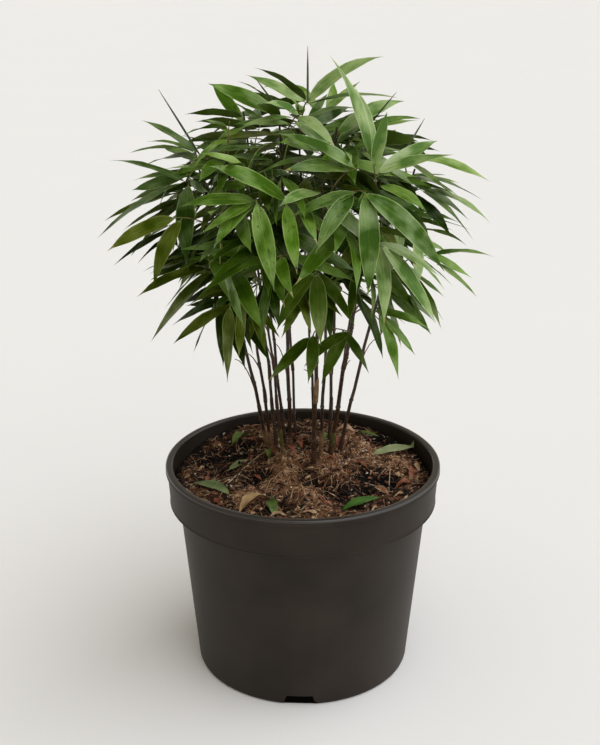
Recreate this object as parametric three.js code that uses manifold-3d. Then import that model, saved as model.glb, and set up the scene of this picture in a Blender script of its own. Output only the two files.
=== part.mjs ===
// A clumping bamboo in a round nursery pot.
// Millimetres, Z up. The origin is the centre of the pot's flat underside, and the front faces -Y.
import * as THREE from "three";
import { mergeVertices } from "three/addons/utils/BufferGeometryUtils.js";
import Module from "manifold-3d";

const wasm = await Module();
wasm.setup();

// Driving dimensions

const gap = 0.3; // between one piece and the next

const pot = {
  height: 205,
  sides: 48,
  rim: { radius: 130, innerRadius: 123, depth: 6, edge: 1.2 },
  band: { topRadius: 128.2, footRadius: 126.3, foot: 167, wall: 3.6 },
  wall: { topRadius: 118, footRadius: 102.5, thickness: 2.3, footRounding: 3.5 },
  floor: 3,
};

// Drainage channels under the pot: trapezoids that open at the foot of the wall.
const channel = {
  count: 4,
  bearing: -91.7,
  mouth: 31,
  roof: 24,
  height: 6.3,
  cover: 2.2,
  hump: 1,
  innerEnd: 78,
  coverEnd: 100.8,
  outerEnd: 108,
  holeRadius: 5,
  holeAt: 88,
};

const compost = {
  edge: 189.5,
  mound: 13.5,
  moundReach: 60,
  ripple: 0.9,
  clump: [3, 32],
  rings: [122.2, 105, 88, 72, 57, 43, 30, 17, 0],
};

// Each culm's foot and the top of its leafy stem, seen from above, and its radius at the foot.
const culms = [
  { foot: [-34, 46], top: [-98, 30], radius: 1.9 },
  { foot: [-30, 34], top: [-66, -42], radius: 1.7 },
  { foot: [-25, 32], top: [-58, 88], radius: 1.7 },
  { foot: [-19, 18], top: [-46, -70], radius: 1.5 },
  { foot: [-17, 41], top: [-52, 16], radius: 1.7 },
  { foot: [-12, 30], top: [-20, -15], radius: 2.2 },
  { foot: [-7, 61], top: [-22, 105], radius: 1.5 },
  { foot: [12, 51], top: [-5, 58], radius: 1.5 },
  { foot: [10, 3], top: [16, -85], radius: 2.3 },
  { foot: [17, 14], top: [28, -35], radius: 1.9 },
  { foot: [26, 44], top: [36, 100], radius: 1.8 },
  { foot: [26, 20], top: [64, -60], radius: 2.3 },
  { foot: [29, 34], top: [68, 55], radius: 1.4 },
  { foot: [35, 30], top: [98, 5], radius: 1.9 },
];
const culm = {
  sides: 6,
  planted: 5,
  neck: 330,
  neckSpread: 12,
  bow: 0.18,
  sway: 0.7,
  internode: 43,
  joint: 1.6,
  jointSwell: 1.28,
  neckTaper: 0.78,
  tipRadius: 0.9,
  stemSides: 5,
  stemStep: 34,
};

// The crown: the twigs end on domes round its centre, and the leaves stay inside its outline.
const crown = {
  centre: [-8, 10, 430],
  twigReach: [112, 112, 112],
  twigDrop: 88,
  stemReach: 125,
  shoulder: 1.7,
  outline: [179, 176, 158],
  outlineDrop: 138,
  bulge: { above: 1.5, below: 1.9 },
  domes: [
    { scale: 1, sprays: 54, highest: 1, lowest: -0.85 },
    { scale: 0.8, sprays: 12, highest: 1, lowest: 0.3 },
    { scale: 0.6, sprays: 14, highest: 0.9, lowest: -0.7 },
  ],
  closest: 24,
  spaceMargin: 34,
};
const twig = {
  sides: 3,
  steps: 3,
  radius: 1.2,
  tipRadius: 0.95,
  room: 0.35,
  stub: 14,
  rise: 26,
  riseByDistance: 0.35,
  lowerStarts: [0, 14, -12, 28],
  bend: { out: 0.4, up: 0.8, arch: 0.12 },
};
const spike = { radii: [1.1, 0.9, 0.25], sunk: 1 };

// A leaf's measures are shares of its length, apart from the lengths, the spacing along the twig,
// the depths that its root may be sunk, the stalk and the room kept round it.
const leafRule = {
  lengths: [62, 88],
  shortest: 44,
  trim: 4,
  width: 0.215,
  widest: 0.36,
  thickness: 0.0125,
  arch: 0.055,
  spacing: 4.2,
  sunk: [0.6, 0.7, 0.5, 0.8, 0.4],
  stalk: 5,
  room: 0.7,
  roomWider: 0.15,
  outward: 0.6,
};

// How the leaves of a spray fan out, in degrees, and how each next one droops and shrinks.
const fanRule = {
  leaves: [4, 7],
  bearing: 84,
  pitch: 44,
  tilt: 50,
  firstSpread: 22,
  nextSpread: 12,
  spreadJitter: 16,
  droop: 0.08,
  shrink: 0.05,
  roll: 60,
};

// Where the plant is seen from in the front view, and the places of a leaf that are looked at:
// their share of its length and of its width.
const sight = {
  eye: [-2.7, -1128.7, 714.7],
  aim: [-2.7, 0, 292.7],
  distance: 1200,
  marks: [[0.1, 0.45], [0.22, 0.9], [0.36, 1], [0.5, 0.9], [0.64, 0.7], [0.78, 0.4], [0.92, 0.12]],
  closeness: 0.75,
};

// The pitch of a spray by its share of the crown's height: hanging at the bottom, rising at the top.
const sprayPitches = [[-0.2, -72], [0, -62], [0.3, -36], [0.5, -28], [0.8, 2], [1.05, 42]];

const seeds = { stems: 1, places: 101, leaves: 1000 };

// Sprays in full view: where the twig ends and, for each leaf, its slant seen from the front,
// its lean towards the front, its length and in places its roll. A spike is a leaf still rolled up.
const frontSprays = [
  {
    at: [4, 20, 538],
    leaves: [[153, 40, 72, -30], [160, -30, 68, -50], [31, 0, 80, 70], [4, 0, 84, 28]],
    spike: [90, 0, 49],
  },
  {
    at: [56, -56, 504],
    leaves: [[113, 0, 92], [104, -32, 70], [80, 20, 54, -70], [13, 0, 68], [24, -30, 70]],
  },
  { at: [44, -82, 500], leaves: [[155, 5, 72], [176, 20, 60]] },
  {
    at: [50, -106, 487],
    leaves: [[272, 12, 85], [317, 8, 94], [200, 5, 58], [234, 30, 62], [216, 50, 60]],
  },
  { at: [-38, -100, 478], leaves: [[281, 8, 76], [185, 0, 62], [206, 30, 58], [222, 42, 60]] },
  { at: [-15, -94, 475], leaves: [[279, 8, 60], [154, 4, 72]] },
  { at: [-104, -12, 474], leaves: [[213, 0, 94], [164, 0, 70], [268, 18, 72, -40]] },
  { at: [-92, 14, 494], leaves: [[152, -12, 60], [196, -24, 62]], spike: [121, 0, 66] },
  { at: [-110, -26, 446], leaves: [[206, 0, 70, -35], [246, 8, 66, -40]] },
  { at: [-82, -32, 402], leaves: [[194, 0, 72], [229, 4, 88]] },
  { at: [-64, -48, 374], leaves: [[267, 6, 72], [214, 0, 66]] },
  { at: [42, -56, 351], leaves: [[213, 20, 52], [245, 10, 52], [302, 10, 46]] },
  { at: [8, -62, 349], leaves: [[226, 5, 56], [262, 30, 46]] },
  { at: [10, -92, 416], leaves: [[237, 5, 60], [274, 5, 64], [305, 5, 58]] },
  { at: [66, -58, 369], leaves: [[287, 10, 62], [312, 5, 52], [340, 0, 54]] },
  { at: [62, -92, 441], leaves: [[306, 5, 84], [275, 10, 72], [333, 10, 60]] },
  { at: [84, -20, 497], leaves: [[345, 0, 80], [325, 10, 66]] },
  { at: [104, -22, 470], leaves: [[333, 0, 68], [319, 24, 66]] },
  { at: [114, 0, 405], leaves: [[358, 0, 60], [325, 20, 60]] },
];

// Leaves that have dropped on the compost: the middle, the way the tip points, and the length.
const fallenLeaves = [
  { middle: [-85, -33], bearing: -36, length: 49, colour: 0x6f7f5a },
  { middle: [-61, 18], bearing: 51, length: 36, colour: 0x8d9a72 },
  { middle: [53, -65], bearing: 36, length: 47, colour: 0x5f9a35 },
  { middle: [85, 48], bearing: 24, length: 46, colour: 0x7f8f68 },
  { middle: [-42, -70], bearing: 46, length: 36, colour: 0xa58a5c },
];

const colours = {
  pot: 0x34302b,
  compost: 0x4a3326,
  culm: 0x2b211b,
  leaves: [0x3f6b2f, 0x36602c, 0x4a7636],
};

// Small helpers

const degrees = Math.PI / 180;
const vec = (x, y, z) => new THREE.Vector3(x, y, z);
const upward = vec(0, 0, 1);

// Random numbers between 0 and 1, always the same ones for a seed.
function seeded(seed) {
  let state = (seed * 48271 + 11) % 2147483647;
  const draw = () => {
    state = (state * 16807) % 2147483647;
    return state / 2147483647;
  };
  draw();
  return draw;
}

const between = (low, high, share) => low + (high - low) * share;

function solidOf(geometry) {
  const shell = geometry.clone();
  shell.deleteAttribute("normal");
  shell.deleteAttribute("uv");
  const merged = mergeVertices(shell, 1e-3);
  return new wasm.Manifold(
    new wasm.Mesh({
      numProp: 3,
      vertProperties: merged.attributes.position.array,
      triVerts: new Uint32Array(merged.index.array),
    })
  );
}

function geometryOf(solid) {
  const { numProp, vertProperties, triVerts } = solid.getMesh();
  const geometry = new THREE.BufferGeometry();
  geometry.setAttribute("position", new THREE.BufferAttribute(vertProperties, numProp));
  geometry.setIndex(new THREE.BufferAttribute(triVerts, 1));
  geometry.computeVertexNormals();
  return geometry;
}

function joined(solids) {
  return solids.reduce((whole, solid) => whole.add(solid));
}

// The largest body of a solid, without the crumbs that a cut leaves.
function mainBody(solid) {
  const bodies = solid.decompose();
  return bodies.reduce((largest, body) => (body.volume() > largest.volume() ? body : largest));
}

// Whether each edge of a shape has exactly two faces once its vertices are merged.
function isTight(geometry, tolerance) {
  const faces = mergeVertices(geometry.clone().deleteAttribute("normal"), tolerance).index.array;
  const uses = new Map();
  for (let i = 0; i < faces.length; i += 3) {
    for (let k = 0; k < 3; k++) {
      const ends = [faces[i + k], faces[i + ((k + 1) % 3)]].sort((a, b) => a - b).join(" ");
      uses.set(ends, (uses.get(ends) ?? 0) + 1);
    }
  }
  return [...uses.values()].every((count) => count === 2);
}

// The shape of the first solid that stays tight, with slivers narrower than the weld taken out.
function cleanShape(makers) {
  const welds = [0.02, 0.01];
  const tolerances = [1e-3, 7e-4, 3e-4, 1e-4];
  for (const make of makers) {
    const body = mainBody(make()).asOriginal();
    for (const weld of welds) {
      const shape = geometryOf(mainBody(body.simplify(weld)));
      if (tolerances.every((tolerance) => isTight(shape, tolerance))) return shape;
    }
  }
  throw new Error("no way of joining the solids leaves one tight body");
}

function piece(name, makers, colour, roughness) {
  const material = new THREE.MeshStandardMaterial({ color: colour, roughness, metalness: 0 });
  const mesh = new THREE.Mesh(cleanShape(makers), material);
  mesh.name = name;
  return mesh;
}

// A round shape about Z from a profile of radii and heights.
function turned(profile, sides) {
  const points = profile.map(([radius, height]) => new THREE.Vector2(radius, height));
  return new THREE.LatheGeometry(points, sides).rotateX(Math.PI / 2);
}

// A limb of round section along a line of points. Level rings give it flat ends.
function limb(points, radii, sides, level = false) {
  const rings = points.length - 1;
  const shape = new THREE.CylinderGeometry(1, 1, 1, sides, rings);
  const frames = ringFrames(points, level);
  const position = shape.getAttribute("position");
  const corner = vec(0, 0, 0);
  for (let i = 0; i < position.count; i++) {
    corner.fromBufferAttribute(position, i);
    const ring = Math.round((corner.y + 0.5) * rings);
    const { across, over } = frames[ring];
    const place = points[ring]
      .clone()
      .addScaledVector(across, corner.x * radii[ring])
      .addScaledVector(over, corner.z * radii[ring]);
    position.setXYZ(i, place.x, place.y, place.z);
  }
  return shape;
}

// The two directions across the limb at each point, turned as little as possible from ring to ring.
function ringFrames(points, level) {
  let across = vec(1, 0, 0);
  return points.map((point, i) => {
    const before = points[Math.max(i - 1, 0)];
    const after = points[Math.min(i + 1, points.length - 1)];
    const along = level ? upward : after.clone().sub(before).normalize();
    if (Math.abs(across.dot(along)) > 0.95) across = vec(0, 1, 0);
    across = across.clone().addScaledVector(along, -across.dot(along)).normalize();
    return { across, over: across.clone().cross(along) };
  });
}

// Pot

function insideOfPot() {
  const { rim, band, wall, floor } = pot;
  return [
    [rim.innerRadius - 0.4, band.foot + 1],
    [wall.topRadius - wall.thickness, band.foot - band.wall],
    [wall.footRadius - wall.thickness, floor],
  ];
}

function potProfile() {
  const { rim, band, wall, height } = pot;
  const corner = wall.footRounding;
  return [
    [0, 0],
    [wall.footRadius - corner, 0],
    [wall.footRadius - 0.3 * corner, 0.3 * corner],
    [wall.footRadius + 0.3, corner],
    [wall.topRadius, band.foot],
    [band.footRadius - 0.8, band.foot],
    [band.footRadius, band.foot + 0.8],
    [band.topRadius, height - rim.depth],
    [rim.radius, height - rim.depth],
    [rim.radius, height - rim.edge],
    [rim.radius - rim.edge, height],
    [rim.innerRadius + rim.edge, height],
    [rim.innerRadius, height - rim.edge],
    ...insideOfPot(),
    [0, pot.floor],
  ];
}

// A block of trapezoid section that lies along a radius, for a channel or for the hump over it.
function channelBlock(mouth, roof, bottom, top, from, to, bearing) {
  const outline = new THREE.Shape([
    new THREE.Vector2(-mouth / 2, bottom),
    new THREE.Vector2(mouth / 2, bottom),
    new THREE.Vector2(roof / 2, top),
    new THREE.Vector2(-roof / 2, top),
  ]);
  const block = new THREE.ExtrudeGeometry(outline, { depth: to - from, bevelEnabled: false });
  block.translate(0, 0, from);
  block.rotateX(Math.PI / 2);
  block.rotateZ((bearing + 90) * degrees);
  return solidOf(block);
}

function eachChannel(make) {
  const bearings = [];
  for (let i = 0; i < channel.count; i++) bearings.push(channel.bearing + (i * 360) / channel.count);
  return joined(bearings.map(make));
}

function humps(extra) {
  const { mouth, roof, height, cover, innerEnd, coverEnd } = channel;
  const wide = 2 * (cover + extra);
  return eachChannel((bearing) =>
    channelBlock(
      mouth + wide,
      roof + wide,
      channel.hump,
      height + cover + extra,
      innerEnd - cover - extra,
      coverEnd + extra,
      bearing
    )
  );
}

function drainHole(bearing) {
  const hole = new THREE.CylinderGeometry(channel.holeRadius, channel.holeRadius, 20, 12);
  hole.rotateX(Math.PI / 2);
  hole.translate(0, -channel.holeAt, channel.height);
  hole.rotateZ((bearing + 90) * degrees);
  return solidOf(hole);
}

function potSolid() {
  const { mouth, roof, height, innerEnd, outerEnd } = channel;
  const flare = (mouth - roof) / height;
  const channels = eachChannel((bearing) =>
    channelBlock(mouth + flare, roof, -1, height, innerEnd, outerEnd, bearing)
  );
  return solidOf(turned(potProfile(), pot.sides))
    .add(humps(0))
    .subtract(channels)
    .subtract(eachChannel(drainHole));
}

// Compost

function groundHeight(x, y) {
  const { edge, mound, moundReach, ripple, clump } = compost;
  const away = Math.hypot(x - clump[0], y - clump[1]) / moundReach;
  const waves = Math.sin(x / 9 + 1) * Math.cos(y / 11) + 0.6 * Math.sin((x + 1.4 * y) / 6);
  return edge + mound * Math.exp(-away * away) + ripple * waves;
}

function compostShape() {
  const [shelf, step, foot] = insideOfPot();
  const profile = [
    [0, foot[1] + gap],
    [foot[0] - gap, foot[1] + gap],
    [step[0] - gap, step[1] + gap],
    [shelf[0] - gap, shelf[1] + gap],
    ...compost.rings.map((radius) => [radius, compost.edge]),
  ];
  const shape = turned(profile, pot.sides);
  const position = shape.getAttribute("position");
  for (let i = 0; i < position.count; i++) {
    if (position.getZ(i) < compost.edge - 1) continue;
    position.setZ(i, groundHeight(position.getX(i), position.getY(i)));
  }
  return shape;
}

function compostSolid(stems) {
  const pockets = stems.map((stem) => solidOf(culmShape(stem, gap)));
  return solidOf(compostShape()).subtract(humps(gap)).subtract(joined(pockets));
}

// Culms and the leafy stems above them

// The dome's height over a point of the plan.
function domeHeight(x, y) {
  const away = Math.hypot(x - crown.centre[0], y - crown.centre[1]) / crown.stemReach;
  const rise = Math.pow(Math.max(0, 1 - Math.pow(away, crown.shoulder)), 1 / crown.shoulder);
  return crown.centre[2] + crown.twigReach[2] * rise;
}

function makeStem(plan, index) {
  const draw = seeded(seeds.stems + index);
  return {
    ...plan,
    index,
    footHeight: groundHeight(...plan.foot) - culm.planted,
    neckHeight: culm.neck + culm.neckSpread * (2 * draw() - 1),
    topHeight: domeHeight(...plan.top),
    phase: 2 * Math.PI * draw(),
    firstJoint: between(0.35, 1, draw()) * culm.internode,
  };
}

function stemPoint(stem, z) {
  const share = (z - stem.footHeight) / (stem.topHeight - stem.footHeight);
  const out = share * (1 - culm.bow + culm.bow * share);
  const sway = culm.sway * Math.sin(z / 13 + stem.phase) * Math.min(1, 4 * Math.max(0, share));
  return vec(
    between(stem.foot[0], stem.top[0], out) + sway,
    between(stem.foot[1], stem.top[1], out) + sway * Math.cos(stem.phase),
    z
  );
}

function stemRadius(stem, z) {
  const neck = stem.radius * culm.neckTaper;
  if (z <= stem.neckHeight) {
    const share = (z - stem.footHeight) / (stem.neckHeight - stem.footHeight);
    return between(stem.radius, neck, Math.max(0, share));
  }
  const share = (z - stem.neckHeight) / (stem.topHeight - stem.neckHeight);
  return between(neck, culm.tipRadius, share);
}

// The bare culm, with a swelling at each joint. The swell widens it to cut the compost's pocket.
function culmShape(stem, swell = 0) {
  const rings = [[stem.footHeight - swell, 1]];
  for (let z = stem.footHeight + stem.firstJoint; z < stem.neckHeight - 8; z += culm.internode) {
    rings.push([z - culm.joint, 1], [z, culm.jointSwell], [z + culm.joint, 0.97]);
  }
  rings.push([stem.neckHeight, 1]);
  const points = rings.map(([z]) => stemPoint(stem, z));
  const radii = rings.map(([z, swelling]) => stemRadius(stem, z) * swelling + swell);
  return limb(points, radii, culm.sides, true);
}

function leafyStemPoints(stem) {
  const from = stem.neckHeight + gap;
  const steps = Math.round((stem.topHeight - from) / culm.stemStep);
  const points = [];
  for (let i = 0; i <= steps; i++) points.push(stemPoint(stem, between(from, stem.topHeight, i / steps)));
  return points;
}

// Leaves

// The corners of a leaf: its root, its tip and the ring at its widest place.
// Room is how far it is widened for the test that it touches nothing, and sunk how deep its root lies
// in the twig.
function leafCorners({ root, along, face, length }, room = 0, sunk = 0) {
  const across = face.clone().cross(along);
  const from = room > 0 ? leafRule.stalk : -sunk;
  const wider = room > 0 ? 1 + leafRule.roomWider : 1;
  const half = (wider * leafRule.width * length) / 2 + room;
  const thick = (leafRule.thickness * length) / 2 + room;
  const ring = root
    .clone()
    .addScaledVector(along, leafRule.widest * length)
    .addScaledVector(face, leafRule.arch * length);
  return {
    root: root.clone().addScaledVector(along, from),
    tip: root.clone().addScaledVector(along, length + room),
    left: ring.clone().addScaledVector(across, half),
    right: ring.clone().addScaledVector(across, -half),
    top: ring.clone().addScaledVector(face, thick),
    bottom: ring.clone().addScaledVector(face, -thick),
  };
}

function leafShape(leaf, sunk = 0) {
  const { root, tip, left, right, top, bottom } = leafCorners(leaf, 0, sunk);
  const shape = new THREE.OctahedronGeometry(1, 0);
  const position = shape.getAttribute("position");
  for (let i = 0; i < position.count; i++) {
    const x = Math.round(position.getX(i));
    const y = Math.round(position.getY(i));
    const z = Math.round(position.getZ(i));
    let place = z > 0 ? top : bottom;
    if (x) place = x > 0 ? tip : root;
    if (y) place = y > 0 ? left : right;
    position.setXYZ(i, place.x, place.y, place.z);
  }
  return shape;
}

// Room that is taken: simple hulls round limbs and leaves, tested edge against face

const leafFaces = [[0, 2, 4], [0, 4, 3], [0, 3, 5], [0, 5, 2], [1, 4, 2], [1, 3, 4], [1, 5, 3], [1, 2, 5]];
const leafEdges = [
  ...[2, 3, 4, 5].flatMap((corner) => [[0, corner], [1, corner]]),
  ...[[2, 4], [4, 3], [3, 5], [5, 2]],
];
const limbFaces = [[0, 1, 2], [3, 5, 4], [0, 3, 4], [0, 4, 1], [1, 4, 5], [1, 5, 2], [2, 5, 3], [2, 3, 0]];
const limbEdges = [[0, 1], [1, 2], [2, 0], [3, 4], [4, 5], [5, 3], [0, 3], [1, 4], [2, 5]];

function hull(corners, faces, edges) {
  const centre = vec(0, 0, 0);
  corners.forEach((corner) => centre.addScaledVector(corner, 1 / corners.length));
  const reach = Math.max(...corners.map((corner) => corner.distanceTo(centre)));
  return { corners, faces, edges, centre, reach };
}

function leafHull(leaf) {
  const { root, tip, left, right, top, bottom } = leafCorners(leaf, leafRule.room);
  return hull([root, tip, left, right, top, bottom], leafFaces, leafEdges);
}

function limbHulls(points, radii) {
  const frames = ringFrames(points, false);
  const triangles = points.map((point, i) =>
    [0, 1, 2].map((k) => {
      const angle = (k * 2 * Math.PI) / 3;
      const wide = 2 * (radii[i] + twig.room);
      return point
        .clone()
        .addScaledVector(frames[i].across, wide * Math.cos(angle))
        .addScaledVector(frames[i].over, wide * Math.sin(angle));
    })
  );
  return triangles.slice(1).map((top, i) => hull([...triangles[i], ...top], limbFaces, limbEdges));
}

function pierces(start, end, a, b, c) {
  const ray = end.clone().sub(start);
  const edge1 = b.clone().sub(a);
  const edge2 = c.clone().sub(a);
  const slope = ray.clone().cross(edge2);
  const scale = edge1.dot(slope);
  if (Math.abs(scale) < 1e-12) return false;
  const from = start.clone().sub(a);
  const u = from.dot(slope) / scale;
  if (u < 0 || u > 1) return false;
  const turn = from.cross(edge1);
  const w = ray.dot(turn) / scale;
  if (w < 0 || u + w > 1) return false;
  const t = edge2.dot(turn) / scale;
  return t >= 0 && t <= 1;
}

function edgesPierce(one, other) {
  return one.edges.some(([i, j]) =>
    other.faces.some(([a, b, c]) =>
      pierces(one.corners[i], one.corners[j], other.corners[a], other.corners[b], other.corners[c])
    )
  );
}

function clash(one, other) {
  if (one.centre.distanceTo(other.centre) > one.reach + other.reach) return false;
  return edgesPierce(one, other) || edgesPierce(other, one);
}

// The growth rule

// The point that lies a distance back from the end of a line of points.
function backAlong(points, distance) {
  let left = distance;
  for (let i = points.length - 1; i > 0; i--) {
    const step = points[i].distanceTo(points[i - 1]);
    if (left <= step || i === 1) return points[i].clone().lerp(points[i - 1], left / step);
    left -= step;
  }
  return points[0].clone();
}

function stemDistance(stem, point) {
  let nearest = Infinity;
  for (let i = 0; i <= 12; i++) {
    const z = between(stem.neckHeight - 20, stem.topHeight, i / 12);
    nearest = Math.min(nearest, stemPoint(stem, z).distanceTo(point));
  }
  return nearest;
}

// How far out a point lies: 1 is on the crown's outline, which is a dome above and rounder below.
function outlineShare(point) {
  const [x, y, z] = crown.centre;
  const [wide, deep, high] = crown.outline;
  const above = point.z > z;
  const power = above ? crown.bulge.above : crown.bulge.below;
  const up = Math.abs(point.z - z) / (above ? high : crown.outlineDrop);
  return Math.pow(Math.hypot((point.x - x) / wide, (point.y - y) / deep), power) + Math.pow(up, power);
}

// How steeply the leaves of a spray stand at a height.
function sprayPitch(z) {
  const share = (z - crown.centre[2] + crown.twigDrop) / (crown.twigDrop + crown.twigReach[2]);
  let [[lowShare, lowPitch]] = sprayPitches;
  for (const [highShare, highPitch] of sprayPitches.slice(1)) {
    if (share <= highShare) {
      return between(lowPitch, highPitch, Math.max(0, (share - lowShare) / (highShare - lowShare)));
    }
    [lowShare, lowPitch] = [highShare, highPitch];
  }
  return lowPitch;
}

function direction(bearing, pitch) {
  return vec(
    Math.cos(bearing * degrees) * Math.cos(pitch * degrees),
    Math.sin(bearing * degrees) * Math.cos(pitch * degrees),
    Math.sin(pitch * degrees)
  );
}

// The way that something points, from its slant seen from the front and its lean to the front.
function frontDirection(slant, lean) {
  return vec(
    Math.cos(slant * degrees) * Math.cos(lean * degrees),
    -Math.sin(lean * degrees),
    Math.sin(slant * degrees) * Math.cos(lean * degrees)
  );
}

function frontFan(spray) {
  return spray.leaves.map(([slant, lean, length, roll = 0]) => ({
    along: frontDirection(slant, lean),
    length,
    roll,
  }));
}

// The leaves of any other spray: one ahead and the rest to the left and right, lower and lower.
function ruledFan(spray, draw) {
  const spread = (range) => range * (draw() - 0.5);
  const out = Math.atan2(spray.at.y - crown.centre[1], spray.at.x - crown.centre[0]) / degrees;
  const bearing = out + spread(fanRule.bearing);
  const ahead = direction(bearing, sprayPitch(spray.at.z) + spread(fanRule.pitch));
  const aside = direction(bearing + 90, spread(fanRule.tilt));
  const hand = draw() < 0.5 ? -1 : 1;
  const count = Math.floor(between(...fanRule.leaves, draw()));
  const fan = [];
  for (let k = 0; k < count; k++) {
    const side = k % 2 ? hand : -hand;
    const wide = fanRule.firstSpread + fanRule.nextSpread * k + spread(fanRule.spreadJitter);
    const angle = k ? wide * degrees : 0;
    const along = ahead
      .clone()
      .multiplyScalar(Math.cos(angle))
      .addScaledVector(aside, side * Math.sin(angle));
    along.z -= fanRule.droop * k;
    fan.push({
      along: along.normalize(),
      length: between(...leafRule.lengths, draw()) * (1 - fanRule.shrink * k),
      roll: spread(fanRule.roll),
    });
  }
  return fan;
}

// The side that a leaf shows: up and outwards, square to the leaf, then rolled.
function leafFace(root, along, roll) {
  const out = vec(root.x - crown.centre[0], root.y - crown.centre[1], 0).normalize();
  const face = upward.clone().addScaledVector(out, leafRule.outward);
  face.addScaledVector(along, -face.dot(along)).normalize();
  return face.applyAxisAngle(along, roll * degrees);
}

// Ways to turn a leaf, by roll and by lift, until it is clear of the others.
const turns = [[0, 0], [24, 0], [-24, 0], [0, 9], [0, -9], [34, 9], [-34, -9], [50, -16], [-50, 16]];

function turnedLeaf(root, plan, [roll, lift]) {
  const face = leafFace(root, plan.along, plan.roll + roll);
  const along = plan.along
    .clone()
    .multiplyScalar(Math.cos(lift * degrees))
    .addScaledVector(face, Math.sin(lift * degrees))
    .normalize();
  face.addScaledVector(along, -face.dot(along)).normalize();
  return { root, along, face, length: plan.length };
}

// The leaf cut to the crown's outline, or nothing where too little is left.
function fitted(leaf) {
  let length = leaf.length;
  while (length >= leafRule.shortest) {
    const tip = leaf.root.clone().addScaledVector(leaf.along, length);
    if (outlineShare(tip) <= 1) return { ...leaf, length };
    length -= leafRule.trim;
  }
  return null;
}

// A leaf's places as the front view shows them: aside, up, how near, and half its width there.
function seenMarks(leaf) {
  const eye = vec(...sight.eye);
  const gaze = vec(...sight.aim).sub(eye).normalize();
  const over = vec(1, 0, 0).cross(gaze);
  return sight.marks.map(([share, wide]) => {
    const place = leaf.root.clone().addScaledVector(leaf.along, share * leaf.length).sub(eye);
    const near = place.dot(gaze);
    return {
      aside: (sight.distance * place.x) / near,
      up: (sight.distance * place.dot(over)) / near,
      near,
      half: (wide * leafRule.width * leaf.length) / 2,
    };
  });
}

// The leaves in full view stay so: no other leaf grows in front of them.
function hidesView(crownState, leaf) {
  const own = seenMarks(leaf);
  return crownState.inView.some((seen) =>
    own.some((one) =>
      seen.some((other) => {
        const away = Math.hypot(one.aside - other.aside, one.up - other.up);
        return one.near < other.near && away < sight.closeness * (one.half + other.half);
      })
    )
  );
}

function growLeaf(crownState, spray, root, plan) {
  for (const turn of turns) {
    const leaf = spray.inView ? turnedLeaf(root, plan, turn) : fitted(turnedLeaf(root, plan, turn));
    if (!leaf || (!spray.inView && hidesView(crownState, leaf))) continue;
    const middle = leaf.root.clone().addScaledVector(leaf.along, leafRule.widest * leaf.length);
    if (!inSpace(crownState.stems, spray.stem, middle)) continue;
    const room = leafHull(leaf);
    const free = crownState.taken.every(
      (other) => (other.spray === spray && other.kind === "twig") || !clash(room, other.hull)
    );
    if (!free) continue;
    crownState.taken.push({ kind: "leaf", spray, mass: spray.stem.index, hull: room });
    crownState.masses[spray.stem.index].leaves.push(leaf);
    if (spray.inView) crownState.inView.push(seenMarks(leaf));
    return;
  }
}

// A mass keeps to the space that is nearer to its own stem than to the others, with a margin.
function inSpace(stems, own, point) {
  const home = stemDistance(own, point);
  return stems.every((stem) => stem === own || home < stemDistance(stem, point) + crown.spaceMargin);
}

function twigPath(start, end) {
  const way = end.clone().sub(start);
  const { out, up, arch } = twig.bend;
  const bend = start.clone().add(vec(out * way.x, out * way.y, up * way.z + arch * way.length()));
  return new THREE.QuadraticBezierCurve3(start, bend, end).getPoints(twig.steps);
}

function twigRadii(points) {
  return points.map((point, i) => between(twig.radius, twig.tipRadius, i / (points.length - 1)));
}

// A twig from one of the nearest stems to the place of a spray, clear of all that already stands.
function growTwig(crownState, spray) {
  const { at } = spray;
  const nearest = crownState.stems
    .map((stem) => ({ stem, distance: stemDistance(stem, at) }))
    .sort((a, b) => a.distance - b.distance)
    .slice(0, 2);
  for (const { stem, distance } of nearest) {
    for (const lower of twig.lowerStarts) {
      const lowest = stem.neckHeight + twig.stub;
      const highest = stem.topHeight - twig.stub;
      const wanted = at.z - twig.rise - twig.riseByDistance * distance - lower;
      const start = stemPoint(stem, Math.min(highest, Math.max(lowest, wanted)));
      const points = twigPath(start, at);
      const radii = twigRadii(points);
      const hulls = limbHulls(points, radii);
      const free = crownState.taken.every(
        (other) =>
          (other.mass === stem.index && other.kind !== "leaf") ||
          hulls.every((room) => !clash(room, other.hull))
      );
      if (!free) continue;
      hulls.forEach((room) => crownState.taken.push({ kind: "twig", spray, mass: stem.index, hull: room }));
      crownState.masses[stem.index].limbs.push({ points, radii });
      spray.stem = stem;
      spray.path = points;
      return true;
    }
  }
  return false;
}

function growSpike(crownState, spray) {
  if (!spray.spike) return;
  const [slant, lean, length] = spray.spike;
  const along = frontDirection(slant, lean);
  const from = spray.at.clone().addScaledVector(along, -spike.sunk);
  const points = [0, 0.5, 1].map((share) => from.clone().addScaledVector(along, share * length));
  const { radii } = spike;
  limbHulls(points, radii).forEach((room) =>
    crownState.taken.push({ kind: "twig", spray, mass: spray.stem.index, hull: room })
  );
  crownState.masses[spray.stem.index].limbs.push({ points, radii });
}

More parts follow.
